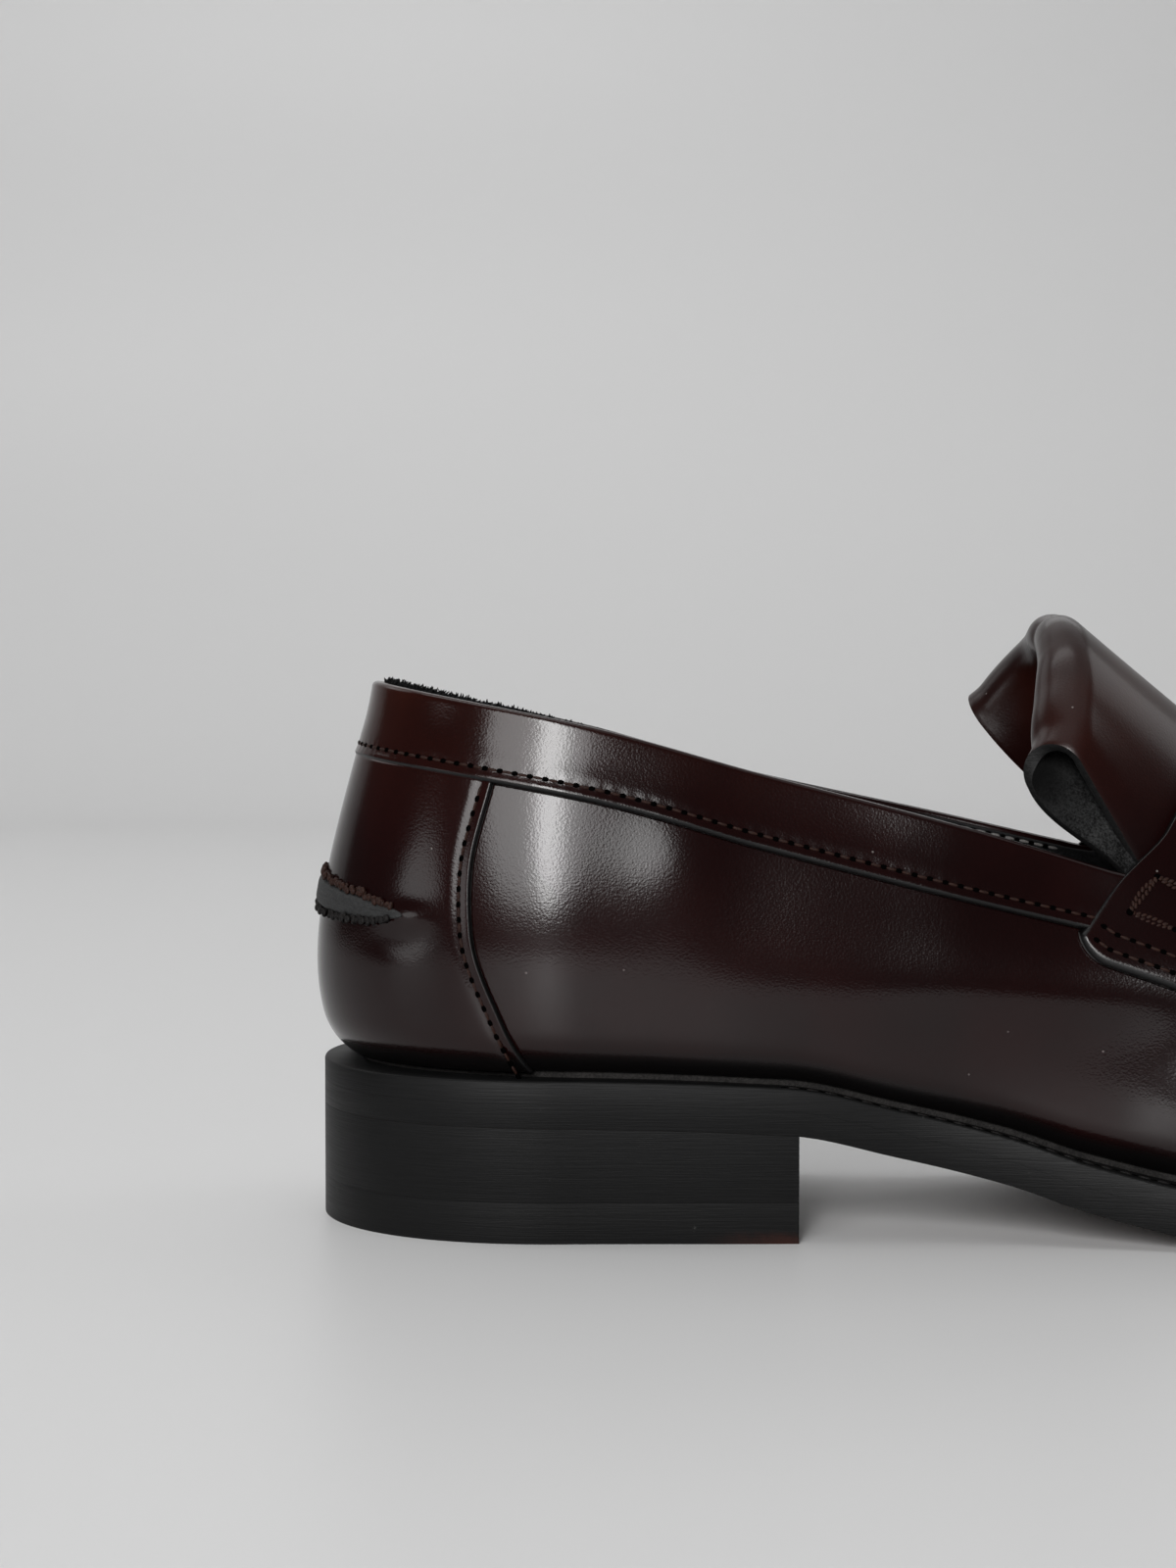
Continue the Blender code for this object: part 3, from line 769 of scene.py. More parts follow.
def counter_place(u, v):
    """From the welt up to the collar band, between the two curved front edges."""
    side = np.where(u < 0.5, INNER, OUTER)
    turn = 1 - (1 - np.abs(2 * u - 1)) ** COUNTER_CROWDING
    whole = walk(column(COUNTER_EDGE, "station", v))
    at = station(whole * turn)
    edge = whole * (1 - turn)
    share = counter_share(at, v, side)
    here = last_point(at, share, side)
    height = here[:, 2]
    lift = GAP + COUNTER_WALL * edge_height(edge, COUNTER_EDGE_ROUND) - undercut(at, here)
    lift = lift - COUNTER_PUCKER * np.exp(-(((edge - COUNTER_STITCH) / COUNTER_PUCKER_REACH) ** 2))
    lift = lift + swelling(COUNTER_SWELLINGS, at, height)
    return lifted(at, share, side, lift), {"edge": edge, "foot": height - seat(at)}


counter_calf = oxblood_leather("counter_calf", COUNTER_EDGE_ROUND, shaded_at_welt=True)
counter = sheet("counter", COUNTER_COLUMNS, COUNTER_ROWS, counter_place, counter_calf)
thicken(counter, PANEL_SKIN, -1.0)
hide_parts("back_counter")

counter_rows = bmesh.new()
for v, side in on_both_sides(np.linspace(COUNTER_ROW_FROM, COUNTER_ROW_TO, 160)):
    points, outward = counter_line(COUNTER_STITCH, v, side, GAP + COUNTER_WALL - COUNTER_PUCKER)
    stitch_row(counter_rows, points, outward)
counter_stitches = piece("counter_stitches", counter_rows, brown_thread, stitch_hole_shade)

# Heel dart: the counter's leather is pinched outwards at half height and sewn through from above and
# below with heavy thread; the two cut edges of the pinch show as a dark grey band that runs to a point.
DART_END = 0.0180
DART_HEIGHT = 0.0540
DART_DROP = 0.0028
DART_DEPTH = 0.0011
DART_BAND = 0.0046
DART_COLUMNS = 120
DART_ROWS = 24
DART_THREAD = 0.0011
DART_PITCH = 0.0008
DART_CROSS_PITCH = 0.0011
DART_CROSSING = 0.00022
DART_SLANT = math.radians(58)
DART_FRAY = 0.75
DART_ABOVE = 1.32
DART_BELOW = -1.22
DART_ROW_END = 0.93
DART_PROUD = 0.35
DART_SQUARE = 6
DART_SEAM = 0.00012
DART_SEAM_WIDTH = 0.05
FIBRES = (900.0, 900.0, 3200.0)
FLECK_CELLS = 1900.0
FIBRE_DEPTH = 0.00025
DART_GREY = (0.0190, 0.0194, 0.0198, 1.0)
DART_BLACK = (0.0080, 0.0080, 0.0082, 1.0)


def dart_path(turn, side, up, out):
    """Line along the dart at a height share from its lower (-1) to its upper (1) border."""
    walked = walk(DART_END) * turn
    at = station(walked)
    taper = np.sqrt(np.clip(1 - turn**2, 0.0, 1.0))
    height = DART_HEIGHT - DART_DROP * turn + DART_BAND / 2 * up * taper
    share = share_at_height(at, height, side)
    lift = GAP + COUNTER_WALL + swelling(COUNTER_SWELLINGS, at, height)
    return line_on_last(at, share, side, lift + out * taper)


def dart_place(u, v):
    """A ridge round the back with a flat face of two cut edges, open towards the counter."""
    side = np.where(u < 0.5, INNER, OUTER)
    turn = np.abs(2 * u - 1)
    up = 2 * v - 1
    seam = DART_SEAM * np.exp(-((up / DART_SEAM_WIDTH) ** 2))
    points, _ = dart_path(turn, side, up, DART_DEPTH * (1 - np.abs(up) ** DART_SQUARE) - seam)
    return points, {}


def cut_leather(name, dark, light):
    """Dyed cut edge of leather: fibres in layers, dull and dark."""
    finish, paint = material(name, {"Specular IOR Level": 0.4})
    fibres = paint.noise(paint.place(FIBRES), 1.0, 4.0, 0.65)
    flecks = paint.noise(paint.place(), FLECK_CELLS, 2.0)
    colour = (fibres * 0.6 + flecks * 0.4).ramp(0.35, 0.68).mix(dark, light)
    relief = paint.bump(fibres + flecks * 0.5, FIBRE_DEPTH, 0.8)
    return dress(finish, colour, 0.55 + fibres * 0.2, relief)


dart_edges = cut_leather("dart_cut_edges", DART_BLACK, DART_GREY)
dart = sheet("dart_ridge", DART_COLUMNS, DART_ROWS, dart_place, dart_edges)
thicken(dart, PANEL_SKIN, -1.0)
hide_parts("heel_dart")

dart_rows = (
    ("dart_thread_above", DART_ABOVE, brown_thread),
    ("dart_thread_below", DART_BELOW, dark_thread),
)
for row_name, up, row_thread in dart_rows:
    dart_row = bmesh.new()
    for turn, side in on_both_sides(np.linspace(0.0, DART_ROW_END, DART_COLUMNS)):
        points, outward = dart_path(turn, side, up, 0.0)
        points = points + outward * DART_THREAD * DART_PROUD
        rope(dart_row, points, outward, DART_PITCH, DART_THREAD, DART_SLANT, DART_FRAY)
        points = points + outward * DART_CROSSING
        rope(dart_row, points, outward, DART_CROSS_PITCH, DART_THREAD, -DART_SLANT, DART_FRAY)
    dart_threads = piece(row_name, dart_row, row_thread)

# Collar band: a strip of the same calf, folded over the topline and sewn down round the opening.
# Its lower edge is cut and dyed black; the row of stitches above it puckers the leather a little.
BAND_WALL = 0.0012
BAND_FRONT_LOW = 0.1262
BAND_FRONT_TOP = 0.1330
BAND_EDGE_ROUND = 0.0008
BAND_STITCH = 0.0021
BAND_FOLD_IN = 0.0004
BAND_FOLD_UP = 0.0009
BAND_COLUMNS = 560
BAND_EDGE_ROWS = 6
BAND_FACE_ROWS = 26
BAND_FOLD_ROWS = 10
BAND_HOLLOW = 0.0003
BAND_STITCH_HOLLOW = 0.40
BAND_PUCKER = 0.00014
BAND_PUCKER_REACH = 0.0011
BAND_RIPPLE = 0.15
BAND_ROW_SHARE = 0.2


def band_frame(u, low_share):
    """Station, side and length along the band at shares of the way round, ending under the strap."""
    side = np.where(u < 0.5, INNER, OUTER)
    front = lerp(BAND_FRONT_LOW, BAND_FRONT_TOP, low_share)
    walked = walk(front) * np.abs(2 * u - 1)
    return station(walked), side, walked


def band_place(u, v):
    """Round the dyed lower edge, up the face and over the fold at the topline."""
    rows = v * (BAND_EDGE_ROWS + BAND_FACE_ROWS + BAND_FOLD_ROWS)
    round_part = np.clip(rows / BAND_EDGE_ROWS, 0.0, 1.0)
    face_part = np.clip((rows - BAND_EDGE_ROWS) / BAND_FACE_ROWS, 0.0, 1.0)
    fold_part = np.clip((rows - BAND_EDGE_ROWS - BAND_FACE_ROWS) / BAND_FOLD_ROWS, 0.0, 1.0)
    at, side, walked = band_frame(u, face_part)
    edge = BAND_EDGE_ROUND * (1 - np.cos(round_part * math.pi / 2))
    low = share_at_height(at, band_height(at), side)
    rim = rim_share(at, side)
    _, _, up = last_frame(at, rim, side)
    low_point = last_point(at, low, side)
    rim_point = last_point(at, rim, side)
    tall = np.linalg.norm(rim_point - low_point, axis=1)
    edge = edge + (tall - BAND_EDGE_ROUND - BAND_FOLD_UP) * face_part
    share = lerp(low, rim, edge / tall)
    lift = GAP + BAND_WALL * edge_height(edge, BAND_EDGE_ROUND)
    ripple = 1 + BAND_RIPPLE * np.cos(2 * math.pi * walked / STITCH_PITCH)
    lift = lift - BAND_PUCKER * ripple * np.exp(-(((edge - BAND_STITCH) / BAND_PUCKER_REACH) ** 2))
    lift = lift - BAND_HOLLOW * np.sin(face_part * math.pi)
    half = (GAP + BAND_WALL + BAND_FOLD_IN) / 2
    lift = np.where(fold_part > 0, half * (1 + np.cos(fold_part * math.pi)) - BAND_FOLD_IN, lift)
    points = lifted(at, share, side, lift)
    rise = BAND_FOLD_UP * np.sin(fold_part * math.pi)
    return points + up * rise[:, None], {"edge": edge}


band_calf = oxblood_leather("band_calf", BAND_EDGE_ROUND)
band_rows = BAND_EDGE_ROWS + BAND_FACE_ROWS + BAND_FOLD_ROWS
band = sheet("band", BAND_COLUMNS, band_rows, band_place, band_calf)
thicken(band, PANEL_SKIN, -1.0)
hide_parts("collar_band")

u = np.linspace(0.0, 1.0, 900)
at, side, _ = band_frame(u, BAND_ROW_SHARE)
height = band_height(at) + BAND_STITCH
sunk = GAP + BAND_WALL - BAND_PUCKER - BAND_HOLLOW * BAND_STITCH_HOLLOW
points, outward = line_on_last(at, share_at_height(at, height, side), side, sunk)
band_row = bmesh.new()
stitch_row(band_row, points, outward)
band_stitches = piece("band_stitches", band_row, brown_thread, stitch_hole_shade)

# Tongue: one thick strip of the same leather, less polished, folded over into a loop behind the strap.
# Its flesh side is mottled black and grey, with painted shade that makes it all black on the top leaf and
# round the fold; its cut edges are black, and both ends of the fold stand open as teardrops.
TONGUE_WALL = 0.0020
Strap = namedtuple("Strap", "at rear front")
STRAP = (
    Strap(0.00, 0.1218, 0.1610),
    Strap(0.14, 0.1278, 0.1630),
    Strap(0.30, 0.1368, 0.1685),
    Strap(0.65, 0.1455, 0.1765),
    Strap(1.00, 0.1480, 0.1800),
)
STRAP_END_REAR = 0.0448
STRAP_END_FRONT = 0.0311
STRAP_CORNER = 0.0042
STRAP_CORNER_SHARE = 0.11
STRAP_CORNER_FADE = 0.30
Fold = namedtuple("Fold", "at reach root tilt turn radius")
TONGUE = (
    Fold(-1.0, 0.0236, 0.0015, math.radians(60), math.radians(25), 0.0054),
    Fold(-0.75, 0.0271, 0.0018, math.radians(48.5), math.radians(33), 0.0057),
    Fold(-0.5, 0.0302, 0.0020, math.radians(45), math.radians(26), 0.0052),
    Fold(0.0, 0.0316, 0.0045, math.radians(39.5), math.radians(8), 0.0042),
    Fold(0.5, 0.0322, 0.0020, math.radians(45), 0.0, 0.0050),
    Fold(1.0, 0.0337, 0.0008, math.radians(50), 0.0, 0.0056),
)
TONGUE_CLIMB_OUT = 0.215
TONGUE_CLIMB_IN = 0.250
TONGUE_CHORD = 0.3
TONGUE_SET = 0.0006
TONGUE_ROOT = 0.0038
TONGUE_BELLY = 0.0008
LEAF_SHARE = 0.34
NOSE_SHARE = 0.66
TONGUE_COLUMNS = 110
TONGUE_ROWS = 150
TONGUE_CUT_ROUND = 0.00025
RIM_ANGLE = math.radians(50)
TONGUE_POLISH = 0.25
FLESH_BLACK_AND_SHADE = (0.0009, 0.0009, 0.0009, 1.0)
FLESH_GREY = (0.0330, 0.0335, 0.0335, 1.0)
FLESH_SHADE_FADE = 0.22


def strap_share(at, slide, climb, side):
    """How far up its sections the strap's points lie, given their climb from end to ridge."""
    edge = np.clip(1 - np.minimum(slide, 1 - slide) / STRAP_CORNER_SHARE, 0.0, 1.0)
    fade = np.clip(1 - climb / STRAP_CORNER_FADE, 0.0, 1.0) ** 2
    corner = STRAP_CORNER * (1 - np.sqrt(1 - edge**2)) * fade
    end = lerp(STRAP_END_REAR, STRAP_END_FRONT, slide) + corner
    return lerp(share_at_height(at, end, side), 1.0, climb)


def tongue_base(across):
    """Line along the strap's rear edge, just under the strap, where the tongue comes out."""
    side = np.where(across <= 0, OUTER, INNER)
    lowest = np.where(across <= 0, TONGUE_CLIMB_OUT, TONGUE_CLIMB_IN)
    climb = lerp(1.0, lowest, np.abs(across))
    at = column(STRAP, "rear", climb)
    return lifted(at, strap_share(at, np.zeros_like(at), climb, side), side, -TONGUE_SET)


def tongue_profile(share, fold):
    """Outer face of the folded strip, as the way along the tongue and the depth under its top leaf."""
    bend = fold.reach - fold.radius
    angle = math.pi * np.clip((share - LEAF_SHARE) / (NOSE_SHARE - LEAF_SHARE), 0.0, 1.0)
    back = np.clip((share - NOSE_SHARE) / (1 - NOSE_SHARE), 0.0, 1.0)
    ease = back * back * (3 - 2 * back)
    leaf = lerp(-fold.root, bend, share / LEAF_SHARE)
    nose = bend + fold.radius * np.sin(angle)
    under = lerp(bend, -fold.root, back)
    along = np.where(share < LEAF_SHARE, leaf, np.where(share < NOSE_SHARE, nose, under))
    depth = np.where(
        share < NOSE_SHARE,
        fold.radius * (1 - np.cos(angle)),
        lerp(2 * fold.radius, TONGUE_ROOT, ease) + TONGUE_BELLY * np.sin(back * math.pi),
    )
    return along, depth


def tongue_place(u, v):
    """Across the instep, and from the top leaf's root round the fold to the lower root."""
    across = 2 * u - 1
    fold = Fold(across, *(column(TONGUE, name, across) for name in Fold._fields[1:]))
    way = np.stack((-np.cos(fold.tilt), np.zeros_like(u), np.sin(fold.tilt)), axis=-1)
    ahead = tongue_base(np.minimum(1.0, across + TONGUE_CHORD))
    behind = tongue_base(np.maximum(-1.0, across - TONGUE_CHORD))
    outward = unit(np.cross(ahead - behind, way))
    aside = np.cross(way, outward)
    outward = outward * np.cos(fold.turn)[:, None] + aside * np.sin(fold.turn)[:, None]
    along, depth = tongue_profile(v, fold)
    # This mark is painted shade, not brushing: 0 (all black) on the top leaf and round the fold, rising to
    # 1 on the lower leaf.
    brushed = np.clip((v - NOSE_SHARE) / FLESH_SHADE_FADE, 0.0, 1.0)
    points = tongue_base(across) + way * along[:, None] - outward * depth[:, None]
    return points, {"brushed": brushed}


tongue_calf = oxblood_leather("tongue_calf", polish=TONGUE_POLISH)
tongue_flesh = suede("tongue_flesh", FLESH_BLACK_AND_SHADE, FLESH_GREY, "brushed")
tongue_cut = cut_leather("tongue_cut_edges", HOLE_SHADE_AND_EDGE_BLACK, DART_BLACK)
tongue = sheet(
    "tongue_loop", TONGUE_COLUMNS, TONGUE_ROWS, tongue_place, tongue_calf, tongue_flesh, tongue_cut
)
thicken(tongue, TONGUE_WALL, -1.0, inside=1, rim=2)
softened = tongue.modifiers.new("softened cut", "BEVEL")
softened.width = TONGUE_CUT_ROUND
softened.segments = 2
softened.limit_method = "ANGLE"
softened.angle_limit = RIM_ANGLE
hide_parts("tongue")

# Saddle strap: a shaped band of calf over the instep, its dyed ends spread over the quarters.
# Two rows of stitches hold each end, and a long box of heavy thread is sewn on it above them.
STRAP_WALL = 0.0014
STRAP_EDGE_ROUND = 0.0009
STRAP_REAR_SKIVE = 2.6
STRAP_LENGTH = 0.040
STRAP_GIRTH = 0.060
STRAP_CROWDING = 0.75
STRAP_COLUMNS = 110
STRAP_ROWS = 260
STRAP_END_CROWDING = 1.25
OUTER_ROW_CLIMB = 0.030
INNER_ROW_CLIMB = 0.062
STRAP_ROW_MARGIN = 0.035
WINDOW_LOW = 0.113
WINDOW_HIGH = 0.195
WINDOW_REAR = 0.095
WINDOW_FRONT = 0.860
WINDOW_LEAN = 0.012
WINDOW_THREAD = 0.00062
WINDOW_PITCH = 0.0009
WINDOW_SLANT = math.radians(35)
WINDOW_STITCH = 0.0072
WINDOW_SPREAD = 0.00042
WINDOW_PROUD = 0.00012


def strap_line(slide, climb, side, lift):
    """Line on the strap through shares of its width and of its climb."""
    at = lerp(column(STRAP, "rear", climb), column(STRAP, "front", climb), slide)
    return line_on_last(at, strap_share(at, slide, climb, side), side, lift)


def double_thread(shape, points, outward):
    """Long stitches of doubled heavy thread, whose two strands spread a little between their holes."""
    length = np.linalg.norm(np.diff(points, axis=0), axis=1).sum()
    stitches = max(1, round(length / WINDOW_STITCH))
    sway = WINDOW_SPREAD * np.abs(np.sin(np.linspace(0.0, stitches * math.pi, len(points))))
    along = unit(np.gradient(points, axis=0))
    across = np.cross(outward, along) * sway[:, None]
    for strand in (points - across, points + across):
        rope(shape, strand, outward, WINDOW_PITCH, WINDOW_THREAD, WINDOW_SLANT)
    # A flat black body at each hole is painted shade.
    holes, out = along_path(points, outward, length / stitches)
    for hole, up in zip(holes, out):
        lay(shape, hole_shade_body, hole, along[0], up, (HOLE_LENGTH, HOLE_LENGTH, HOLE_DEPTH * 2))


def strap_place(u, v):
    """From rear to front edge, and from the outer end over the ridge to the inner."""
    side = np.where(v <= 0.5, OUTER, INNER)
    climb = (1 - np.abs(2 * v - 1)) ** STRAP_END_CROWDING
    slide = lerp(u, (1 - np.cos(math.pi * u)) / 2, STRAP_CROWDING)
    sides = np.minimum(slide * STRAP_REAR_SKIVE, 1 - slide) * STRAP_LENGTH
    edge = np.minimum(sides, climb * STRAP_GIRTH)
    lift = GAP + STRAP_WALL * edge_height(edge, STRAP_EDGE_ROUND)
    points, _ = strap_line(slide, climb, side, lift)
    return points, {"edge": edge}


strap_calf = oxblood_leather("strap_calf", STRAP_EDGE_ROUND)
strap = sheet("strap", STRAP_COLUMNS, STRAP_ROWS, strap_place, strap_calf)
thicken(strap, PANEL_SKIN, -1.0)
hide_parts("saddle_strap")

strap_rows = bmesh.new()
window_rows = bmesh.new()
for side_of_row in (OUTER, INNER):
    slide = np.linspace(STRAP_ROW_MARGIN, 1 - STRAP_ROW_MARGIN, 160)
    side = np.full(len(slide), side_of_row)
    for climb in (OUTER_ROW_CLIMB, INNER_ROW_CLIMB):
        points, outward = strap_line(slide, np.full(len(slide), climb), side, GAP + STRAP_WALL)
        stitch_row(strap_rows, points, outward)
    sides_of_window = (
        ((WINDOW_REAR, WINDOW_LOW), (WINDOW_REAR + WINDOW_LEAN, WINDOW_HIGH), WINDOW_PROUD),
        ((WINDOW_REAR + WINDOW_LEAN, WINDOW_HIGH), (WINDOW_FRONT, WINDOW_HIGH), WINDOW_PROUD),
        ((WINDOW_FRONT, WINDOW_HIGH), (WINDOW_FRONT, WINDOW_LOW), WINDOW_PROUD),
        ((WINDOW_FRONT, WINDOW_LOW), (WINDOW_REAR, WINDOW_LOW), -WINDOW_PROUD),
    )
    for (slide_from, climb_from), (slide_to, climb_to), proud in sides_of_window:
        share = np.linspace(0.0, 1.0, 80)
        side = np.full(len(share), side_of_row)
        slide = lerp(slide_from, slide_to, share)
        climb = lerp(climb_from, climb_to, share)
        points, outward = strap_line(slide, climb, side, GAP + STRAP_WALL + proud)
        double_thread(window_rows, points, outward)
strap_stitches = piece("strap_stitches", strap_rows, brown_thread, stitch_hole_shade)
strap_window = piece("strap_window", window_rows, brown_thread, stitch_hole_shade)

# Insole: the board that the foot stands on, covered by a black suede sock from heel to toe.
# It lies inside the welt and the upper's wall.
INSOLE_INSET = 0.0023
INSOLE_RISE = 0.0012
WELT = 0.0033
BOTTOM_COLUMNS = 150
RIM_ROUND = 0.0004
RIM_FACING = 0.7
UNDERSIDE_FACING = 0.9
SOCK_BLACK = (0.0120, 0.0112, 0.0110, 1.0)
SOCK_GREY = (0.0300, 0.0280, 0.0270, 1.0)


def soften(shape, facing, width):
    """Round the rim of the faces that look up (1) or down (-1)."""
    rim = []
    for edge in shape.edges:
        steepest = max(face.normal.z * facing for face in edge.link_faces)
        if steepest > RIM_FACING and edge.calc_face_angle(0.0) > RIM_ANGLE:
            rim.append(edge)
    bmesh.ops.bevel(
        shape, geom=rim, offset=width, segments=2, profile=0.5, affect="EDGES", clamp_overlap=True
    )


def slab(name, columns, place, facing, width, *finishes):
    """Plate made from a box that is cut along its length and moved to its places, with one rim softened.

    A second finish, where one is given, covers the underside.
    """
    shape = bmesh.new()
    bmesh.ops.create_cube(shape, size=1.0)
    lengthwise = [edge for edge in shape.edges if abs(edge.verts[0].co.x - edge.verts[1].co.x) > 0.5]
    bmesh.ops.subdivide_edges(shape, edges=lengthwise, cuts=columns - 1, use_grid_fill=True)
    box = np.array([vert.co for vert in shape.verts]) + 0.5
    for vert, point in zip(shape.verts, place(box[:, 0], box[:, 1], box[:, 2])):
        vert.co = point
    bmesh.ops.remove_doubles(shape, verts=shape.verts, dist=WELD)
    bmesh.ops.dissolve_degenerate(shape, edges=shape.edges, dist=WELD)
    bmesh.ops.recalc_face_normals(shape, faces=shape.faces)
    soften(shape, facing, width)
    for face in shape.faces:
        face.material_index = int(face.normal.z < -UNDERSIDE_FACING and len(finishes) > 1)
    made = piece(name, shape, *finishes)
    made.data.set_sharp_from_angle(angle=RIM_ANGLE)
    return made


def plate_place(stations, edge, low, high):
    """Function that gives the places of a plate's points, from its stations, outline and two heights."""

    def place(x, y, z):
        at = stations(x)
        height = np.where(z < 0.5, low(at), high(at))
        return np.stack((at - MIDDLE, edge(at, np.where(y < 0.5, OUTER, INNER)), height), axis=-1)

    return place


def insole_edge(at, side, inset):
    """Sideways place of an outline that lies inside the upper's lower edge."""
    width = sided("feather", at, side) * BALL_WIDTH - inset
    return axis(at) + side * width * rounding(at, UPPER_BACK + inset, UPPER_TIP - inset)


insole_place = plate_place(
    lambda x: spread(x, UPPER_BACK + INSOLE_INSET, UPPER_TIP - INSOLE_INSET),
    lambda at, side: insole_edge(at, side, INSOLE_INSET),
    lambda at: seat(at) - WELT,
    lambda at: seat(at) + INSOLE_RISE,
)
sock_suede = suede("sock_suede", SOCK_BLACK, SOCK_GREY)
sock = slab("insole_sock", BOTTOM_COLUMNS, insole_place, 1, RIM_ROUND, sock_suede)
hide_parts("insole")

# Welt: a strip of sole leather sewn to the upper all round, dyed black and burnished with the sole edge.
# Its stitches show on the ledge in front of the heel.
WELT_INSET = 0.0020
WELT_STITCH_SHARE = 0.45
WELT_STITCH_FROM = 0.075
WELT_PITCH = 0.0030
WELT_THREAD = 0.0006
WELT_ROW_BACK = 0.0022
WELT_ROW_TIP = LENGTH - 0.0025
JOINT = 0.00003
SOLE_BLACK = (0.0026, 0.0026, 0.0027, 1.0)
SOLE_GREY = (0.0044, 0.0044, 0.0045, 1.0)
SOLE_RED = (0.0250, 0.0085, 0.0060, 1.0)
RED_FROM = -0.0860
RED_TO = -0.0705
RED_TALL = 0.0022
RED_RAGGED = 0.004
SCUFF_GREY = (0.0700, 0.0690, 0.0680, 1.0)
BRUSH_LINES = (38.0, 38.0, 2300.0)
FINE_LINES = (160.0, 160.0, 5200.0)
SCRATCHES = (330.0, 330.0, 240.0)
STAIN_CELLS = 55.0
BRUSH_DEPTH = 0.00004


def burnished_edge(name, scuffs):
    """Sole leather or rubber dyed black and burnished, with fine brush lines and a few scuffs.

    At the lower front corner of the heel the dye is worn through to red-brown.
    """
    finish, paint = material(name, {"Specular IOR Level": 0.16})
    place = paint.place()
    lines = paint.noise(paint.place(BRUSH_LINES), 1.0, 4.0, 0.6)
    fine = paint.noise(paint.place(FINE_LINES), 1.0, 2.0, 0.5)
    stains = paint.noise(place, STAIN_CELLS, 4.0, 0.6)
    scratch = paint.noise(paint.place(SCRATCHES), 1.0, 5.0, 0.75)
    brushed = (lines * 0.6 + fine * 0.4).ramp(0.30, 0.72)
    colour = (brushed * 0.4 + stains * 0.6).ramp(0.2, 0.85).mix(SOLE_BLACK, SOLE_GREY)
    scuff = scratch.ramp(0.66, 0.76) * scuffs
    colour = scuff.mix(colour, SCUFF_GREY)
    length = paint.part(place, 0)
    ragged = paint.part(place, 2) + (scratch - 0.5) * RED_RAGGED
    worn = length.ramp(RED_FROM, RED_TO) * (1 - length.ramp(RED_TO, RED_TO + RED_RAGGED))
    worn = worn * (1 - ragged.ramp(0.0, RED_TALL))
    relief = paint.bump(brushed + fine * 0.5 - scuff * 0.6, BRUSH_DEPTH, 0.6)
    return dress(finish, worn.mix(colour, SOLE_RED), 0.42 + brushed * 0.08 + stains * 0.10, relief)


def sole_edge(at, side):
    """Sideways place of the sole's outline."""
    width = sided("feather", at, side) * BALL_WIDTH + column(BOTTOM, "margin", at / LENGTH)
    return axis(at) + side * width * rounding(at, 0.0, LENGTH)


def welt_place(u, v):
    """A strip along the sole's outline, with its inner edge under the upper's wall."""
    side = np.where(u <= 0.5, OUTER, INNER)
    share = 1 - np.abs(2 * u - 1)
    corner = np.round(v * 4) % 4
    outer = (corner == 0) | (corner == 3)
    start = np.where(outer, 0.0, UPPER_BACK + WELT_INSET)
    end = np.where(outer, LENGTH, UPPER_TIP - WELT_INSET)
    at = spread(share, start, end)
    edge = np.where(outer, sole_edge(at, side), insole_edge(at, side, WELT_INSET))
    height = seat(at) - np.where(corner < 2, WELT + GAP, 0.0)
    return np.stack((at - MIDDLE, edge, height), axis=-1), {}


sole_dye = burnished_edge("burnished_sole", 0.5)
welt_shape = moulded(2 * BOTTOM_COLUMNS, 4, welt_place)
bmesh.ops.recalc_face_normals(welt_shape, faces=welt_shape.faces)
soften(welt_shape, 1, RIM_ROUND)
welt = piece("welt_strip", welt_shape, sole_dye)
welt.data.set_sharp_from_angle(angle=RIM_ANGLE)
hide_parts("welt")

welt_row = bmesh.new()
welt_at = spread(np.linspace(0.0, 1.0, 700), WELT_ROW_BACK, WELT_ROW_TIP)
for at, side in on_both_sides(welt_at[welt_at > WELT_STITCH_FROM]):
    ledge = column(BOTTOM, "margin", at / LENGTH) * WELT_STITCH_SHARE
    width = sided("feather", at, side) * BALL_WIDTH + ledge
    across = axis(at) + side * width * rounding(at, WELT_ROW_BACK, WELT_ROW_TIP)
    points = np.stack((at - MIDDLE, across, seat(at)), axis=-1)
    upward = np.tile((0.0, 0.0, 1.0), (len(at), 1))
    stitch_row(welt_row, points, upward, WELT_PITCH, WELT_THREAD)
welt_stitches = piece("welt_stitches", welt_row, dark_thread, stitch_hole_shade)

# Outsole: a single layer of sole leather under the welt, from heel to toe, with a raised waist.
# Its edge is dyed and burnished with the welt, so that the glued joint hardly shows.
UNDERSIDE_BROWN = (0.0420, 0.0200, 0.0140, 1.0)
UNDERSIDE_RED = (0.0900, 0.0380, 0.0260, 1.0)

outsole_place = plate_place(
    lambda x: spread(x, 0.0, LENGTH),
    sole_edge,
    lambda at: seat(at) - SOLE,
    lambda at: seat(at) - (WELT + GAP + JOINT),
)
underside = cut_leather("sole_underside", UNDERSIDE_BROWN, UNDERSIDE_RED)
outsole = slab("outsole_leather", BOTTOM_COLUMNS, outsole_place, -1, RIM_ROUND, sole_dye, underside)
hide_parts("outsole")

# Heel stack: lifts of sole leather glued and nailed under the seat, trimmed flush, dyed and burnished.
# The breast at its front is cut straight.
HEEL_LENGTH = 0.0776
TOP_LIFT = 0.0065
BLOCK_COLUMNS = 80
BLOCK_HEEL_PART = 0.69


def block_spread(share):
    """Stations along the heel block, from its round back to its breast."""
    turn = math.pi / 2 * np.minimum(share / BLOCK_HEEL_PART, 1)
    straight = (share - BLOCK_HEEL_PART) / (1 - BLOCK_HEEL_PART)
    back = HEEL_RADIUS * (1 - np.cos(turn))
    return np.where(share < BLOCK_HEEL_PART, back, lerp(HEEL_RADIUS, HEEL_LENGTH, straight))


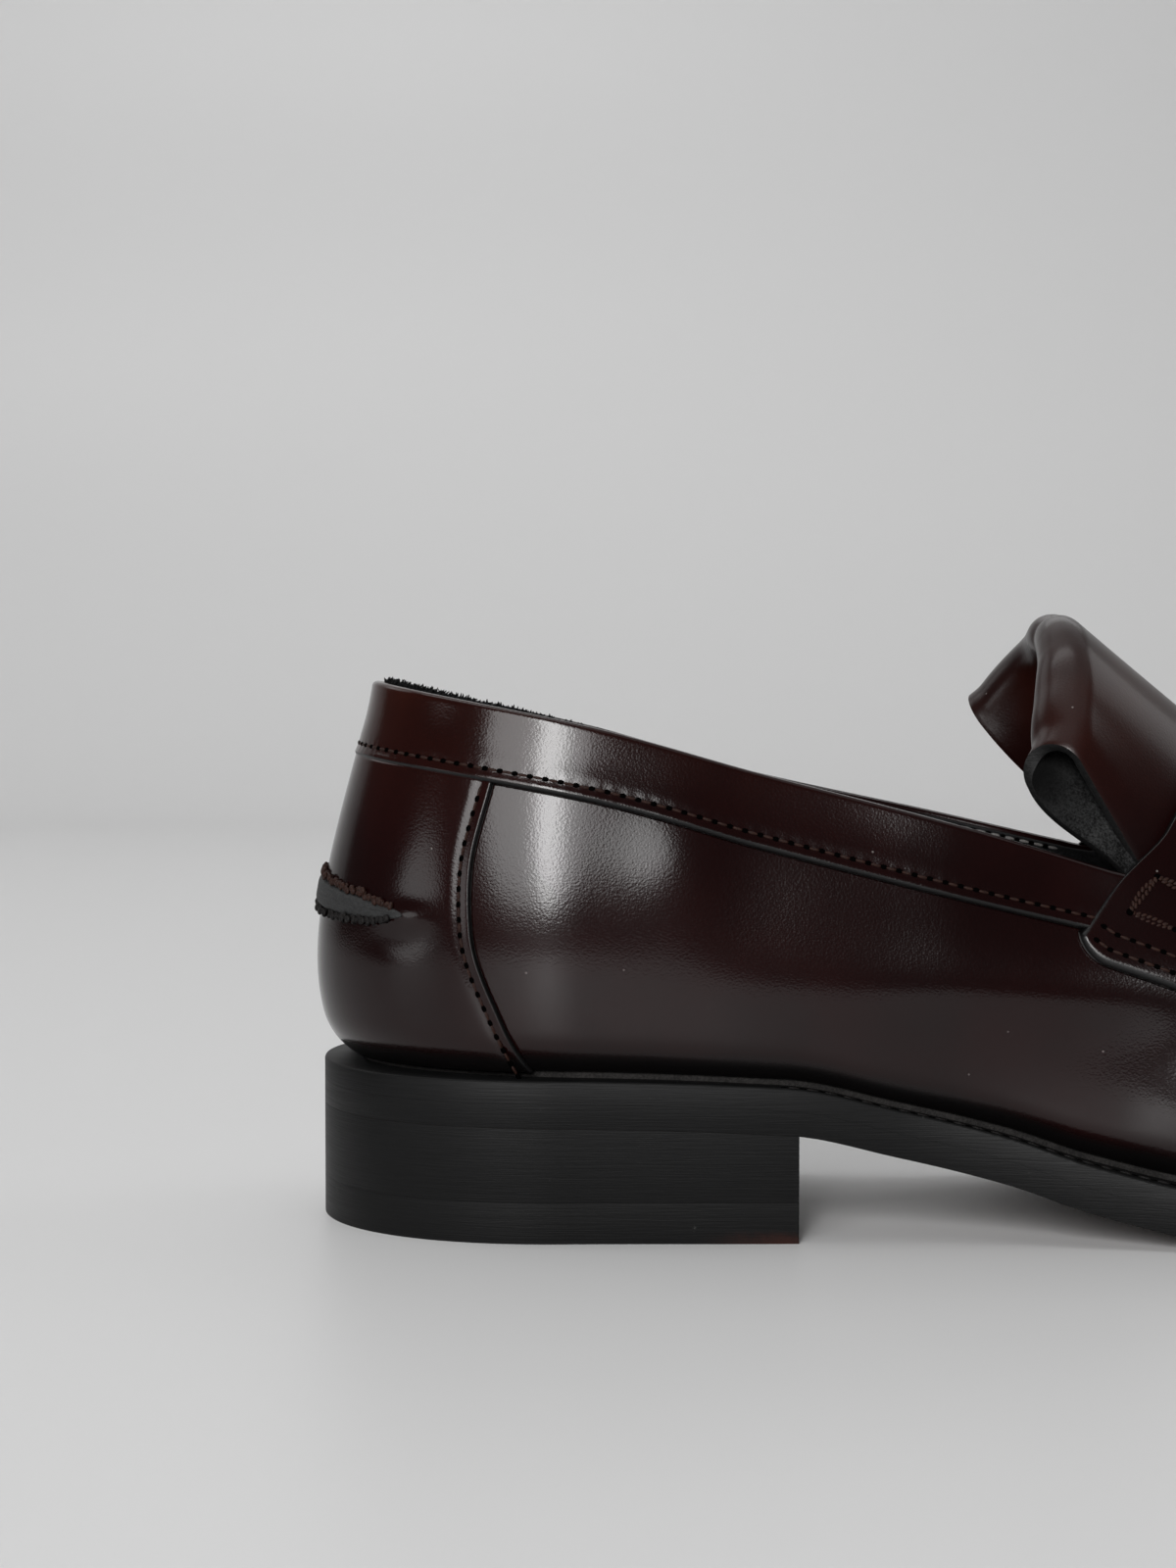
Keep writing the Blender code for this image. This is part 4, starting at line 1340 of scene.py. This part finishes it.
heel_stack_place = plate_place(
    block_spread, sole_edge, lambda at: TOP_LIFT + JOINT, lambda at: seat(at) - SOLE - JOINT
)
stack = slab("heel_lifts", BLOCK_COLUMNS, heel_stack_place, -1, JOINT, sole_dye)
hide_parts("heel_stack")

# Top lift: the rubber piece that meets the floor, glued under the heel and trimmed with it.
# Its lower rim is rounded by wear.
top_lift_place = plate_place(block_spread, sole_edge, lambda at: 0.0, lambda at: TOP_LIFT)
lift_rubber = burnished_edge("top_lift_rubber", 0.8)
top_lift = slab("top_lift_rubber", BLOCK_COLUMNS, top_lift_place, -1, RIM_ROUND, lift_rubber)
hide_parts("top_lift")

# Floor: a pale seamless sweep with a little sheen that rises behind the shoe.
# It is not part of the object.
FLOOR_HALF = 3.0
SWEEP_START = 1.2
SWEEP_RADIUS = 0.6
WALL_HEIGHT = 3.0
FLOOR_GREY = (0.655, 0.655, 0.655, 1.0)

sweep = bmesh.new()
centre = Matrix.Translation((0.0, SWEEP_START - FLOOR_HALF, 0.0))
bmesh.ops.create_grid(sweep, x_segments=1, y_segments=1, size=FLOOR_HALF, matrix=centre)
rear = [edge for edge in sweep.edges if all(vert.co.y > 0.0 for vert in edge.verts)]
turned = bmesh.ops.spin(
    sweep,
    geom=rear,
    cent=(0.0, SWEEP_START, SWEEP_RADIUS),
    axis=(1.0, 0.0, 0.0),
    angle=math.pi / 2,
    steps=24,
)
top = [item for item in turned["geom_last"] if isinstance(item, bmesh.types.BMEdge)]
wall = bmesh.ops.extrude_edge_only(sweep, edges=top)["geom"]
risen = [item for item in wall if isinstance(item, bmesh.types.BMVert)]
bmesh.ops.translate(sweep, verts=risen, vec=(0.0, 0.0, WALL_HEIGHT))
paper_values = {"Base Color": FLOOR_GREY, "Roughness": 0.42, "Specular IOR Level": 0.38}
paper, _ = material("floor_paper", paper_values)
floor_mesh = bpy.data.meshes.new("floor")
sweep.to_mesh(floor_mesh)
sweep.free()
floor_mesh.shade_smooth()
floor_mesh.materials.append(paper)
floor = bpy.data.objects.new("floor", floor_mesh)
bpy.context.scene.collection.objects.link(floor)

# Studio light: a wide soft box overhead, a bright box with a dim wing above the camera whose reflections
# lie on the quarter, dim panels at the sides, a weak box behind, a wash on the backdrop, and a dark room.
Lamp = namedtuple("Lamp", "name place aim width height power")
LAMPS = (
    Lamp("overhead_box", (0.0, 0.22, 1.9), (0.0, 0.12, 0.0), 3.2, 2.8, 11.0),
    Lamp("key_box", (-0.5215, -2.198, 0.998), (-0.10, -0.03, 0.06), 0.40, 1.36, 23.5),
    Lamp("key_wing", (-0.759, -2.187, 1.017), (-0.10, -0.03, 0.06), 1.80, 1.36, 37.0),
    Lamp("left_panel", (-1.05, 0.55, 0.86), (-0.03, 0.0, 0.06), 0.70, 0.60, 1.1),
    Lamp("low_panel", (-1.25, -0.62, 0.22), (-0.03, 0.0, 0.08), 0.50, 0.40, 1.0),
    Lamp("right_panel", (1.08, 0.42, 0.80), (0.0, 0.0, 0.06), 0.75, 0.75, 1.9),
    Lamp("rear_box", (0.1, 1.45, 1.15), (0.06, 0.0, 0.0), 1.6, 0.5, 1.8),
    Lamp("backdrop_wash", (-0.8, 0.2, 2.6), (-0.3, 1.8, 0.7), 2.4, 0.6, 13.6),
)
ROOM_GREY = (0.05, 0.05, 0.05, 1.0)

for lamp in LAMPS:
    light = bpy.data.lights.new(lamp.name, "AREA")
    light.shape = "ELLIPSE"
    light.size = lamp.width
    light.size_y = lamp.height
    light.energy = lamp.power
    holder = bpy.data.objects.new(lamp.name, light)
    holder.location = lamp.place
    holder.rotation_euler = (Vector(lamp.aim) - Vector(lamp.place)).to_track_quat("-Z", "Y").to_euler()
    bpy.context.scene.collection.objects.link(holder)

room = bpy.data.worlds.new("dim_room")
room.use_nodes = True
room.node_tree.nodes["Background"].inputs["Color"].default_value = ROOM_GREY
bpy.context.scene.world = room

# Camera: level with the topline on the shoe's outer side, aimed a little down, as in the photograph.
IMAGE_WIDTH = 1200
IMAGE_HEIGHT = 1600
FOCAL_PIXELS = 2850.0
HORIZON_ROW = 690.0
CAMERA_PLACE = (0.0443 - MIDDLE, -0.4703, 0.0895)
SENSOR = 36.0

lens = bpy.data.cameras.new("camera")
lens.sensor_width = SENSOR
lens.lens = SENSOR * FOCAL_PIXELS / max(IMAGE_WIDTH, IMAGE_HEIGHT)
lens.clip_start = 0.01
camera = bpy.data.objects.new("camera", lens)
camera.location = CAMERA_PLACE
down = math.atan((IMAGE_HEIGHT / 2 - HORIZON_ROW) / FOCAL_PIXELS)
camera.rotation_euler = (math.pi / 2 - down, 0.0, 0.0)
bpy.context.scene.collection.objects.link(camera)
bpy.context.scene.camera = camera
bpy.context.scene.view_settings.view_transform = "Standard"
